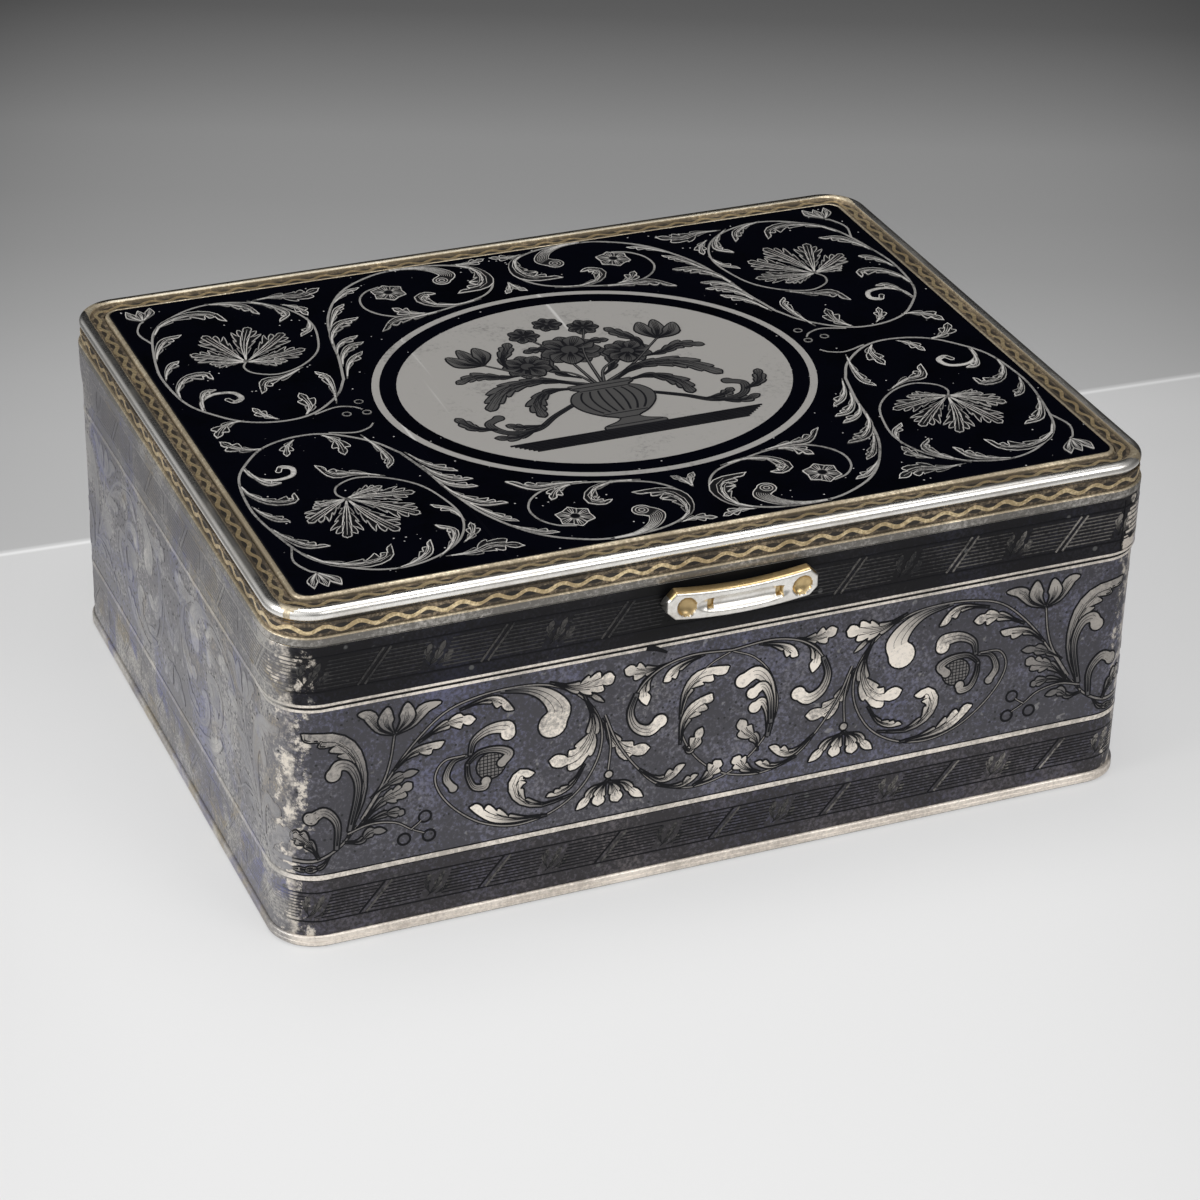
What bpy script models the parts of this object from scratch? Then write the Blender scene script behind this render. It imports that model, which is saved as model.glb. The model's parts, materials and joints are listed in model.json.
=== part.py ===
"""Silver table snuff box: a rectangular body with a lid hinged along the top of its back wall.

Sizes are metres. +Z is up, +X runs along the front from left to right, and the front with its
thumbpiece faces -Y. The origin is the middle of the underside.
"""

import math

import bmesh
import bpy

# Body
BODY_WIDTH = 0.09
BODY_DEPTH = 0.0695
CORNER_RADIUS = 0.0042
MOUTH_HEIGHT = 0.0264
WALL = 0.0009

# Base and foot
BASE_THICKNESS = 0.0006
FOOT_PROJECTION = 0.0005
FOOT_HEIGHT = 0.001
FOOT_ROUNDING = 0.0003
FOOT_STEPS = 4

# Inner lip that the lid closes over
BEZEL_THICKNESS = 0.00055
BEZEL_DEPTH = 0.004
BEZEL_RISE = 0.0024
BEZEL_SETBACK = 0.0055

# Lid skirt
SKIRT_HEIGHT = 0.0064
SKIRT_WALL = 0.0008
SKIRT_PROJECTION = 0.0001
MITRE_FOOT = 0.0062
MITRE_HEAD = 0.0026
MITRE_GAP = 0.0002

# Lid frame, the moulding around the top
FILLET_PROJECTION = 0.00045
FILLET_HEIGHT = 0.0009
SIDE_GROOVE_HEIGHT = 0.0014
BEAD_RADIUS = 0.00078
BEAD_START = -45
BEAD_END = 135
BEAD_STEPS = 12
LIP_ANGLE = 30
TOP_GROOVE_WIDTH = 0.0014
INNER_FILLET = 0.0006
INNER_FILLET_RISE = 0.0003
FRAME_SEAT = 0.0015
LEDGE_WIDTH = 0.0008
LEDGE_THICKNESS = 0.0006
WIRE_THICKNESS = 0.00025
WIRE_SINK = 0.00005

# Lid plate
PLATE_THICKNESS = 0.0008

# Hinge
KNUCKLE_COUNT = 9
KNUCKLE_RADIUS = 0.00125
KNUCKLE_BORE = 0.00062
KNUCKLE_GAP = 0.00015
KNUCKLE_FIN = 0.0008
HINGE_MARGIN = 0.006
HINGE_HEADROOM = 0.00015
HINGE_INSET = 0.0006
PIN_RADIUS = 0.00055
PLUG_RADIUS = 0.0011
PLUG_LENGTH = 0.0005
PLUG_DOME = ((0.0, 1.0), (0.5, 1.0), (0.85, 0.8), (1.0, 0.45))
BEARER_GAP = 0.0001
BEARER_REACH = 0.00085
BEARER_LEG = 0.0026
LID_BEARER_RISE = 0.0012
BODY_TROUGH_START = 186
LID_TROUGH_START = 112
LID_TROUGH_END = 180

# Thumbpiece
THUMB_LENGTH = 0.0156
THUMB_HEIGHT = 0.0035
THUMB_DEPTH = 0.0021
THUMB_CORNER = 0.0009
THUMB_BOW = 0.0005
THUMB_STEPS = 8
THUMB_DROP = 0.00025
THUMB_EDGE = 0.00022
SCOOP_LENGTH = 0.0086
SCOOP_HEIGHT = 0.0022
SCOOP_DEPTH = 0.00075
DIMPLE_RADIUS = 0.00095
DIMPLE_DEPTH = 0.00055
DIMPLE_INSET = 0.002
NOTCH_WIDTH = 0.00045
NOTCH_DEPTH = 0.0005
NOTCH_INSET = 0.0037

# Fits
SOLDER_GAP = 0.00005
LID_GAP = 0.00015

# Facets
CORNER_STEPS = 8
ROUND_STEPS = 24
CUT_PAST = 0.003
SHARP_ANGLE = 30

HALF_WIDTH = BODY_WIDTH / 2
HALF_DEPTH = BODY_DEPTH / 2
HINGE_LENGTH = BODY_WIDTH - 2 * HINGE_MARGIN
WALL_FOOT_Z = BASE_THICKNESS + SOLDER_GAP
SKIRT_FOOT_Z = MOUTH_HEIGHT + LID_GAP
SKIRT_HEAD_Z = SKIRT_FOOT_Z + SKIRT_HEIGHT
FRAME_Z = SKIRT_HEAD_Z + SOLDER_GAP
AXIS_Y = HALF_DEPTH - HINGE_INSET
AXIS_Z = FRAME_Z - HINGE_HEADROOM - KNUCKLE_RADIUS
BACK_WALL_Z = FRAME_Z - HINGE_HEADROOM - SOLDER_GAP
TROUGH_RADIUS = KNUCKLE_RADIUS + BEARER_GAP

SILVER = ("polished_silver", (0.80, 0.78, 0.74), 1.0, 0.22)
NIELLO = ("black_niello", (0.012, 0.013, 0.022), 0.6, 0.25)
GREY_NIELLO = ("grey_niello", (0.10, 0.10, 0.13), 0.8, 0.35)
GILT = ("gilt", (0.83, 0.62, 0.28), 1.0, 0.25)
STEEL = ("pin_steel", (0.45, 0.44, 0.43), 1.0, 0.35)


def clear_scene():
    """Removes whatever the scene held before."""
    for old in list(bpy.data.objects):
        bpy.data.objects.remove(old, do_unlink=True)


def material(finish):
    """The Principled material of a finish, made once."""
    name, colour, metallic, roughness = finish
    found = bpy.data.materials.get(name)
    if found:
        return found
    made = bpy.data.materials.new(name)
    made.use_nodes = True
    shader = made.node_tree.nodes["Principled BSDF"]
    shader.inputs["Base Color"].default_value = (*colour, 1.0)
    shader.inputs["Metallic"].default_value = metallic
    shader.inputs["Roughness"].default_value = roughness
    return made


def add_object(name, bm, finish=None, parent=None):
    """Turns a bmesh into an object. A piece of the lid has its origin on the hinge axis."""
    bmesh.ops.recalc_face_normals(bm, faces=bm.faces)
    shift = (0.0, AXIS_Y, AXIS_Z) if parent else (0.0, 0.0, 0.0)
    for vertex in bm.verts:
        vertex.co = [at - off for at, off in zip(vertex.co, shift)]
    mesh = bpy.data.meshes.new(name)
    bm.to_mesh(mesh)
    bm.free()
    mesh.shade_smooth()
    mesh.set_sharp_from_angle(angle=math.radians(SHARP_ANGLE))
    made = bpy.data.objects.new(name, mesh)
    bpy.context.scene.collection.objects.link(made)
    made.parent = parent
    if finish:
        mesh.materials.append(material(finish))
    else:
        made.hide_render = True
        made.display_type = "WIRE"
    return made


def boolean(target, tool, operation="DIFFERENCE"):
    """Cuts the tool from the target, or joins it on."""
    modifier = target.modifiers.new(tool.name, "BOOLEAN")
    modifier.object = tool
    modifier.operation = operation


def outline(offset):
    """Plan of the box, moved out from the body's outer face by an offset, anticlockwise."""
    radius = CORNER_RADIUS + offset
    centre_x = HALF_WIDTH - CORNER_RADIUS
    centre_y = HALF_DEPTH - CORNER_RADIUS
    points = []
    for quarter, (side_x, side_y) in enumerate(((1, 1), (-1, 1), (-1, -1), (1, -1))):
        for step in range(CORNER_STEPS + 1):
            angle = math.radians(90 * (quarter + step / CORNER_STEPS))
            points.append((side_x * centre_x + radius * math.cos(angle),
                           side_y * centre_y + radius * math.sin(angle)))
    return points


def skin(bm, loops, closed):
    """Joins loops of equal length with quads; an open run of loops gets its two ends filled."""
    rows = [[bm.verts.new(point) for point in loop] for loop in loops]
    count = len(rows[0])
    pairs = list(zip(rows, rows[1:]))
    if closed:
        pairs.append((rows[-1], rows[0]))
    for low, high in pairs:
        for i in range(count):
            j = (i + 1) % count
            bm.faces.new((low[i], low[j], high[j], high[i]))
    if not closed:
        bm.faces.new(rows[0])
        bm.faces.new(rows[-1])


def ring(name, profile, finish=None, parent=None):
    """A closed profile of (offset, height) swept around the box's plan."""
    bm = bmesh.new()
    skin(bm, [[(x, y, z) for x, y in outline(offset)] for offset, z in profile], closed=True)
    return add_object(name, bm, finish, parent)


def stack(name, profile, finish=None, parent=None):
    """A solid plate whose edge follows a profile of (offset, height), from its underside up."""
    bm = bmesh.new()
    skin(bm, [[(x, y, z) for x, y in outline(offset)] for offset, z in profile], closed=False)
    return add_object(name, bm, finish, parent)


def bar(name, section, start, end, finish=None, parent=None):
    """A section of (y, z) points run along X."""
    bm = bmesh.new()
    skin(bm, [[(x, y, z) for y, z in section] for x in (start, end)], closed=False)
    return add_object(name, bm, finish, parent)


def rectangle(low, high):
    """Corner points of a rectangle in any plane."""
    return [(low[0], low[1]), (high[0], low[1]), (high[0], high[1]), (low[0], high[1])]


def arc(centre, radius, start, end, steps):
    """Points along an arc, angles in degrees."""
    angles = [math.radians(start + (end - start) * i / steps) for i in range(steps + 1)]
    return [(centre[0] + radius * math.cos(a), centre[1] + radius * math.sin(a)) for a in angles]


def circle(radius):
    """A full circle of (y, z) points about the hinge axis."""
    return arc((AXIS_Y, AXIS_Z), radius, 0, 360, ROUND_STEPS)[:-1]


def mitre_y(z, gap=0.0):
    """Where the slanted joint between lid and back wall lies at a height."""
    share = (z - MOUTH_HEIGHT) / (BACK_WALL_Z - MOUTH_HEIGHT)
    return HALF_DEPTH - MITRE_FOOT + (MITRE_FOOT - MITRE_HEAD) * share - gap


def base():
    """Flat base plate and the rounded foot moulding that runs above its edge."""
    stack("base_plate", [(FOOT_PROJECTION, 0.0), (FOOT_PROJECTION, BASE_THICKNESS)], SILVER)
    inner = SOLDER_GAP
    low = BASE_THICKNESS + SOLDER_GAP
    top = low + FOOT_HEIGHT
    crown = arc((FOOT_PROJECTION - FOOT_ROUNDING, top - FOOT_ROUNDING), FOOT_ROUNDING, 0, 90, FOOT_STEPS)
    ring("foot_rim", [(inner, low), (FOOT_PROJECTION, low), *crown, (inner, top)], SILVER)


def body_shell():
    """Wall of the body: full height at the back, where the hinge sits, and mitred down to the mouth."""
    wall = ring("body_wall", [(-WALL, WALL_FOOT_Z), (0.0, WALL_FOOT_Z),
                              (0.0, BACK_WALL_Z), (-WALL, BACK_WALL_Z)], GREY_NIELLO)
    past = HALF_WIDTH + CUT_PAST
    high = BACK_WALL_Z + CUT_PAST
    front = -HALF_DEPTH - CUT_PAST
    mouth = bar("mouth_cutter", [(front, MOUTH_HEIGHT), (mitre_y(MOUTH_HEIGHT), MOUTH_HEIGHT),
                                 (mitre_y(high), high), (front, high)], -past, past)
    boolean(wall, mouth)
    slot_half = HINGE_LENGTH / 2 + SOLDER_GAP + PLUG_LENGTH + KNUCKLE_GAP
    slot = bar("hinge_slot_cutter", rectangle((HALF_DEPTH - WALL - CUT_PAST, slot_floor()),
                                              (HALF_DEPTH + CUT_PAST, high)), -slot_half, slot_half)
    boolean(wall, slot)


def slot_floor():
    """Height at which the back wall stops below the hinge."""
    return AXIS_Z - TROUGH_RADIUS - SOLDER_GAP


def mouth_bezel():
    """Thin lip soldered inside the mouth on the front and sides, which the lid skirt closes over."""
    outer = -WALL - SOLDER_GAP
    inner = outer - BEZEL_THICKNESS
    low = MOUTH_HEIGHT - BEZEL_DEPTH
    top = MOUTH_HEIGHT + BEZEL_RISE
    lead = BEZEL_THICKNESS / 2
    bezel = ring("mouth_bezel", [(inner, low), (outer, low), (outer, top - lead),
                                 (outer - lead, top), (inner, top)], GILT)
    past = HALF_WIDTH + CUT_PAST
    back = bar("bezel_back_cutter", rectangle((HALF_DEPTH - BEZEL_SETBACK, low - CUT_PAST),
                                              (HALF_DEPTH + CUT_PAST, top + CUT_PAST)), -past, past)
    boolean(bezel, back)


def lid_skirt(lid):
    """Band of the lid on the front and sides, ending at the mitre towards the back."""
    outer = SKIRT_PROJECTION
    inner = outer - SKIRT_WALL
    skirt = ring("lid_skirt", [(inner, SKIRT_FOOT_Z), (outer, SKIRT_FOOT_Z),
                               (outer, SKIRT_HEAD_Z), (inner, SKIRT_HEAD_Z)], GREY_NIELLO, lid)
    past = HALF_WIDTH + CUT_PAST
    low, high = SKIRT_FOOT_Z - CUT_PAST, SKIRT_HEAD_Z + CUT_PAST
    behind = HALF_DEPTH + CUT_PAST + MITRE_FOOT
    back = bar("skirt_back_cutter", [(mitre_y(low, MITRE_GAP), low), (behind, low), (behind, high),
                                     (mitre_y(high, MITRE_GAP), high)], -past, past, parent=lid)
    boolean(skirt, back)


def lid_frame(lid):
    """Moulding around the lid with a bold bead, gilt wires in its two grooves and the plate on its ledge."""
    groove_z = FRAME_Z + FILLET_HEIGHT
    bead_foot = groove_z + SIDE_GROOVE_HEIGHT
    bead_z = bead_foot - BEAD_RADIUS * math.sin(math.radians(BEAD_START))
    bead_out = FILLET_PROJECTION - BEAD_RADIUS
    groove_out = bead_out + BEAD_RADIUS * math.cos(math.radians(BEAD_START))
    wire_depth = WIRE_THICKNESS + SOLDER_GAP + WIRE_SINK
    side_in = groove_out - wire_depth
    bead_in = bead_out + BEAD_RADIUS * math.cos(math.radians(BEAD_END))
    lip_z = bead_z + BEAD_RADIUS * math.sin(math.radians(LIP_ANGLE))
    top_in = bead_in - TOP_GROOVE_WIDTH
    opening = top_in - INNER_FILLET
    plate_z = lip_z + INNER_FILLET_RISE
    ledge_z = plate_z - PLATE_THICKNESS - SOLDER_GAP
    floor_z = lip_z - wire_depth
    seat_in = -FRAME_SEAT
    bead = arc((bead_out, bead_z), BEAD_RADIUS, BEAD_START, BEAD_END, BEAD_STEPS)
    profile = [(seat_in, FRAME_Z), (FILLET_PROJECTION, FRAME_Z), (FILLET_PROJECTION, groove_z),
               (side_in, groove_z), (side_in, bead_foot), *bead,
               (bead_in, floor_z), (top_in, floor_z), (top_in, plate_z), (opening, plate_z),
               (opening, ledge_z), (opening - LEDGE_WIDTH, ledge_z),
               (opening - LEDGE_WIDTH, ledge_z - LEDGE_THICKNESS), (seat_in, ledge_z - LEDGE_THICKNESS)]
    ring("lid_frame", profile, SILVER, lid)
    side_wire = rectangle((side_in + SOLDER_GAP, groove_z + SOLDER_GAP),
                          (side_in + SOLDER_GAP + WIRE_THICKNESS, bead_foot - SOLDER_GAP))
    ring("outer_gilt_wire", side_wire, GILT, lid)
    top_wire = rectangle((top_in + SOLDER_GAP, floor_z + SOLDER_GAP),
                         (bead_in - SOLDER_GAP, floor_z + SOLDER_GAP + WIRE_THICKNESS))
    ring("inner_gilt_wire", top_wire, GILT, lid)
    edge = opening - SOLDER_GAP
    stack("lid_plate", [(edge, ledge_z + SOLDER_GAP), (edge, plate_z)], NIELLO, lid)


def tube(name, start, end, finish, parent=None):
    """A hinge knuckle before its fin is joined on: a round barrel with a bore for the pin."""
    bm = bmesh.new()
    outer, inner = circle(KNUCKLE_RADIUS), circle(KNUCKLE_BORE)
    loops = [(start, outer), (end, outer), (end, inner), (start, inner)]
    skin(bm, [[(x, y, z) for y, z in loop] for x, loop in loops], closed=True)
    return add_object(name, bm, finish, parent)


def knuckle(index, lid):
    """One knuckle. Odd ones stand on the back wall and even ones hang under the lid frame."""
    pitch = HINGE_LENGTH / KNUCKLE_COUNT
    start = -HINGE_LENGTH / 2 + pitch * index
    end = start + pitch - KNUCKLE_GAP
    on_body = index % 2 == 0
    number = index // 2 + 1
    name = f"body_knuckle_{number}" if on_body else f"lid_knuckle_{number}"
    parent = None if on_body else lid
    barrel = tube(name, start, end, SILVER, parent)
    middle = (KNUCKLE_RADIUS + KNUCKLE_BORE) / 2
    if on_body:
        low, high = slot_floor() + SOLDER_GAP, AXIS_Z - middle
        near, far = HALF_DEPTH - WALL, HALF_DEPTH - WALL + KNUCKLE_FIN
    else:
        low, high = AXIS_Z + middle, FRAME_Z - SOLDER_GAP
        near, far = AXIS_Y - KNUCKLE_FIN / 2, AXIS_Y + KNUCKLE_FIN / 2
    fin = bar(f"{name}_fin", rectangle((near, low), (far, high)), start, end, parent=parent)
    boolean(barrel, fin, "UNION")


def hinge(lid):
    """Knuckles of the body and the lid in turn on one pin, plugs over its ends, and the bearer strips."""
    for index in range(KNUCKLE_COUNT):
        knuckle(index, lid)
    half = HINGE_LENGTH / 2
    bar("hinge_pin", circle(PIN_RADIUS), -half, half - KNUCKLE_GAP, STEEL)
    domes = {"hinge_plug_left": (-half - SOLDER_GAP, -1),
             "hinge_plug_right": (half - KNUCKLE_GAP + SOLDER_GAP, 1)}
    for name, (face, way) in domes.items():
        bm = bmesh.new()
        skin(bm, [[(face + way * PLUG_LENGTH * depth, y, z) for y, z in circle(PLUG_RADIUS * share)]
                  for depth, share in PLUG_DOME], closed=False)
        add_object(name, bm, SILVER)
    wall_in = HALF_DEPTH - WALL - SOLDER_GAP
    reach = AXIS_Y - TROUGH_RADIUS - BEARER_REACH
    steps = ROUND_STEPS // 4
    stop = 180 + math.degrees(math.acos((AXIS_Y - wall_in) / TROUGH_RADIUS))
    trough = arc((AXIS_Y, AXIS_Z), TROUGH_RADIUS, BODY_TROUGH_START, stop, steps)
    foot = AXIS_Z - TROUGH_RADIUS - BEARER_LEG
    bar("body_hinge_bearer", [*trough, (wall_in, foot), (wall_in - BEARER_REACH, foot),
                              (reach, AXIS_Z - TROUGH_RADIUS), (reach, trough[0][1])], -half, half, SILVER)
    seat = HALF_DEPTH - FRAME_SEAT - SOLDER_GAP
    under = FRAME_Z - SOLDER_GAP
    trough = arc((AXIS_Y, AXIS_Z), TROUGH_RADIUS, LID_TROUGH_START, LID_TROUGH_END, steps)
    head = under + LID_BEARER_RISE
    bar("lid_hinge_bearer", [(trough[0][0], under), *trough, (reach, AXIS_Z), (reach, head),
                             (seat, head), (seat, under)], -half, half, SILVER, lid)


def thumbpiece(lid):
    """Cast bar on the front of the lid: two dimpled ends, two notches and a scooped middle."""
    back = -HALF_DEPTH - SKIRT_PROJECTION - SOLDER_GAP
    front = back - THUMB_DEPTH
    top = FRAME_Z - THUMB_DROP
    low = top - THUMB_HEIGHT
    half = THUMB_LENGTH / 2
    reach = half - THUMB_CORNER
    bows = [(2 * step / THUMB_STEPS - 1, THUMB_BOW * (2 * step / THUMB_STEPS - 1) ** 2)
            for step in range(THUMB_STEPS + 1)]
    lower = [(reach * share, low + rise) for share, rise in bows]
    upper = [(-reach * share, top - THUMB_BOW + rise) for share, rise in bows]
    plan = [*lower, (half, low + THUMB_BOW + THUMB_CORNER), (half, top - THUMB_CORNER),
            *upper, (-half, top - THUMB_CORNER), (-half, low + THUMB_BOW + THUMB_CORNER)]
    bm = bmesh.new()
    levels = [(back, 0.0), (front + THUMB_EDGE, 0.0), (front, THUMB_EDGE)]
    middle = (top + low) / 2
    skin(bm, [[(x * (1 - inset / half), y, middle + (z - middle) * (1 - 2 * inset / THUMB_HEIGHT))
               for x, z in plan] for y, inset in levels], closed=False)
    piece = add_object("thumbpiece", bm, GILT, lid)
    boolean(piece, bowl("thumb_scoop_cutter", (0.0, front, middle),
                        (SCOOP_LENGTH / 2, SCOOP_DEPTH, SCOOP_HEIGHT / 2), lid))
    for side, word in ((-1, "left"), (1, "right")):
        boolean(piece, bowl(f"thumb_dimple_{word}_cutter", (side * (half - DIMPLE_INSET), front, middle),
                            (DIMPLE_RADIUS, DIMPLE_DEPTH, DIMPLE_RADIUS), lid))
        edge = side * (half - NOTCH_INSET)
        notch = bar(f"thumb_notch_{word}_cutter", rectangle((front - CUT_PAST, low - CUT_PAST),
                                                            (front + NOTCH_DEPTH, top + CUT_PAST)),
                    edge - NOTCH_WIDTH / 2, edge + NOTCH_WIDTH / 2, parent=lid)
        boolean(piece, notch)


def bowl(name, centre, radii, parent):
    """An ellipsoid that scoops a hollow."""
    bm = bmesh.new()
    bmesh.ops.create_uvsphere(bm, u_segments=ROUND_STEPS, v_segments=ROUND_STEPS // 2, radius=1.0)
    for vertex in bm.verts:
        vertex.co = [middle + at * radius for at, middle, radius in zip(vertex.co, centre, radii)]
    return add_object(name, bm, parent=parent)


def main():
    clear_scene()
    lid = bpy.data.objects.new("lid_hinge_axis", None)
    lid.location = (0.0, AXIS_Y, AXIS_Z)
    bpy.context.scene.collection.objects.link(lid)
    base()
    body_shell()
    mouth_bezel()
    lid_skirt(lid)
    lid_frame(lid)
    hinge(lid)
    thumbpiece(lid)


main()
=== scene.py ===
"""Looks of a silver table snuff box: its shells, mouldings, hinge, niello ornament, finishes and studio.

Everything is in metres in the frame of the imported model, with +Z up and the front facing -Y.
"""

import json
import logging
import math
from dataclasses import dataclass, field, replace
from enum import Enum
from typing import Callable, Iterable, Sequence

import bmesh
import bpy
import numpy as np
from mathutils import Matrix, Vector
from mathutils.geometry import tessellate_polygon

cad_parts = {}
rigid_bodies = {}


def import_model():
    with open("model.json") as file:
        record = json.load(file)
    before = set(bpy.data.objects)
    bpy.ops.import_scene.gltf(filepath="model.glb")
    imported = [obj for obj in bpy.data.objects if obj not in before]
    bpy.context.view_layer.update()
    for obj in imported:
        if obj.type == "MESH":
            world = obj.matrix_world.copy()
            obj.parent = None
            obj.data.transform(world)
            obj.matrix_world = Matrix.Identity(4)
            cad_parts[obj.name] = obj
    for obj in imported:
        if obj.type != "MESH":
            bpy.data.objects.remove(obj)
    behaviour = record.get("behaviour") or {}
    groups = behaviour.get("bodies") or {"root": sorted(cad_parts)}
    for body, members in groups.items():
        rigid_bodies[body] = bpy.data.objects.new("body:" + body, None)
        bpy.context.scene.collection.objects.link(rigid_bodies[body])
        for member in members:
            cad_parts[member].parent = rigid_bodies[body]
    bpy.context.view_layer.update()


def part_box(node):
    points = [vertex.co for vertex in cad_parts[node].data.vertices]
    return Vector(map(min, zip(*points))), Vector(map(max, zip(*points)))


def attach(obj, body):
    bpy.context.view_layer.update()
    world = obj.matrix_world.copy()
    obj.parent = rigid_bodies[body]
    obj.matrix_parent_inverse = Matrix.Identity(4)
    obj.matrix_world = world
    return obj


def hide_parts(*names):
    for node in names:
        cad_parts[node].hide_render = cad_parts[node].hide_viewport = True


LOG = logging.getLogger("snuff_box")

MM = 0.001
CORNER_RADIUS = 4.2 * MM
WALL_OUT = 0.2 * MM
MOUTH_GAP = 0.15 * MM
BAND_END_GAP = 0.4 * MM
STRIP_DEEP = 0.25 * MM
CORNER_STEPS = 20

Point = tuple[float, float]
Colour = tuple[float, float, float]
Piece = bpy.types.Object
Socket = bpy.types.NodeSocket
Array = np.ndarray
Given = Sequence[Socket]
Masks = dict[str, Socket]

# colours of the side walls' paleness: a painted sheen together with rubbing
RUB_AND_SHEEN_PALE: Colour = (0.52, 0.50, 0.46)
RUB_AND_SHEEN_COOL: Colour = (0.20, 0.21, 0.36)
RUB_AND_SHEEN_WARM: Colour = (0.36, 0.31, 0.22)
RUB_AND_SHEEN_DULL: Colour = (0.20, 0.195, 0.205)
# colour of the back of the lid: tarnish together with painted shade
BACK_TARNISH_AND_SHADE: Colour = (0.20, 0.165, 0.10)
# colour of the dirt and painted shade around the thumbpiece
DIRT_AND_SHADE_BLACK: Colour = (0.003, 0.003, 0.003)
# colour of the corners' bare silver patches and of the painted highlight along them
BARE_AND_HIGHLIT_CORNER: Colour = (0.72, 0.66, 0.58)
SCUFF_GREY: Colour = (0.46, 0.45, 0.44)
STAIN_SCALE, STAIN_COVER = 55.0, 0.42
COAT_ROUGHNESS, COAT_IOR = 0.32, 1.7
SCRATCH_DEPTH = 0.02 * MM
PATINA_EDGE = 0.18

# where each kind of wear, painted highlight, painted sheen and painted shade starts and where it is full;
# corners go by the sum of |x| and |y|
CORNER_PATCHES = (75.9 * MM, 77.3 * MM)
# the thin bright line along the outermost part of each corner is a painted highlight
CORNER_HIGHLIGHT = (77.49 * MM, 77.64 * MM)
LID_JOINT = (26.3 * MM, 26.5 * MM)
LID_STEP = 0.325 * MM
SIDE_WALLS = (43.4 * MM, 44.9 * MM)
LID_BACK = (31.5 * MM, 33.5 * MM)
THUMB_DARK_ASIDE = (7.6 * MM, 12.0 * MM)
THUMB_DARK_FRONT = (-34.0 * MM, -30.0 * MM)
THUMB_DARK_ABOVE = (26.4 * MM, 28.4 * MM)

# tools that cut reach this far past what they cut
PAST = 4 * MM
BAND_OVER = 3 * MM
BAND_BEHIND = 12 * MM
LIP_BEHIND = 9 * MM

# heights of drawn shapes in millimetres, which differ a little so that none lies in another's plane
FIRST_HEIGHT = 0.006
STROKE_STEP = 0.00006
STROKE_ROUND = 30

# shares of a leaf's length where it is widest and where its lobes start, and the power by which it swells
LEAF_WIDEST = 0.6
LOBES_FROM = 0.2
LEAF_SWELL = 1.15


class Body(Enum):
    """The rigid bodies that pieces ride on."""

    BOX = "body"
    LID = "lid"


class Slot(Enum):
    """The record's material slots."""

    SILVER = "polished_silver"
    GREY_NIELLO = "grey_niello"
    BLACK_NIELLO = "black_niello"
    GILT = "gilt"
    STEEL = "pin_steel"


class NodeSketch:
    """A node tree under construction, with short ways to add nodes and join them."""

    def __init__(self, tree: bpy.types.NodeTree) -> None:
        """Keeps the shader or geometry tree to build in."""
        self.tree = tree

    def add(self, kind: str, settings: dict | None = None, **inputs: object) -> bpy.types.Node:
        """Adds a node and fills its inputs.

        Args:
            kind: the node's type name.
            settings: properties of the node itself.
            inputs: values or output sockets by input name, with underscores for spaces, or in_0 for a place.

        Returns:
            The new node.
        """
        node = self.tree.nodes.new(kind)
        for name, value in (settings or {}).items():
            setattr(node, name, value)
        for name, value in inputs.items():
            key = int(name[3:]) if name.startswith("in_") else name.replace("_", " ")
            self.feed(node.inputs[key], value)
        return node

    def feed(self, socket: Socket, value: object) -> None:
        """Links an output to a socket, or sets the socket's own value."""
        if isinstance(value, Socket):
            self.tree.links.new(value, socket)
        else:
            socket.default_value = value

    def math(self, operation: str, first: object, second: object = 0.0) -> Socket:
        """One step of arithmetic on two values."""
        return self.add("ShaderNodeMath", {"operation": operation}, in_0=first, in_1=second).outputs[0]

    def times(self, first: object, second: object) -> Socket:
        """The product of two values."""
        return self.math("MULTIPLY", first, second)

    def plus(self, first: object, second: object) -> Socket:
        """The sum of two values."""
        return self.math("ADD", first, second)

    def minus(self, first: object, second: object) -> Socket:
        """The first value less the second."""
        return self.math("SUBTRACT", first, second)

    def ramp(
            self, value: object, low: object, high: object, out_low: float = 0.0,
            out_high: float = 1.0) -> Socket:
        """A smooth step of a value from one range to another."""
        node = self.add(
            "ShaderNodeMapRange", {"interpolation_type": "SMOOTHSTEP"}, Value=value, From_Min=low,
            From_Max=high, To_Min=out_low, To_Max=out_high)
        return node.outputs[0]

    def noise(self, place: Socket, scale: object, detail: float, **more: float) -> Socket:
        """Clouds around 0.5."""
        return self.add("ShaderNodeTexNoise", Vector=place, Scale=scale, Detail=detail, **more).outputs[0]

    def vector(self, operation: str, first: object, **inputs: object) -> bpy.types.Node:
        """One step of vector arithmetic, as a node."""
        return self.add("ShaderNodeVectorMath", {"operation": operation}, in_0=first, **inputs)

    def axes(self, place: Socket) -> list[Socket]:
        """The three parts of a vector."""
        return list(self.add("ShaderNodeSeparateXYZ", Vector=place).outputs)

    def group(self, make: Callable[[], bpy.types.NodeTree], **inputs: float) -> Sequence[Socket]:
        """Adds a shader group and returns its outputs."""
        return self.add("ShaderNodeGroup", {"node_tree": make()}, **inputs).outputs

    def mix(self, share: object, first: object, second: object) -> Socket:
        """Mixes two colours by a share."""
        node = self.add("ShaderNodeMix", {"data_type": "RGBA"}, in_0=share)
        for socket, colour in ((node.inputs[6], first), (node.inputs[7], second)):
            self.feed(socket, (*colour, 1.0) if isinstance(colour, tuple) else colour)
        return node.outputs[2]


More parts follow.
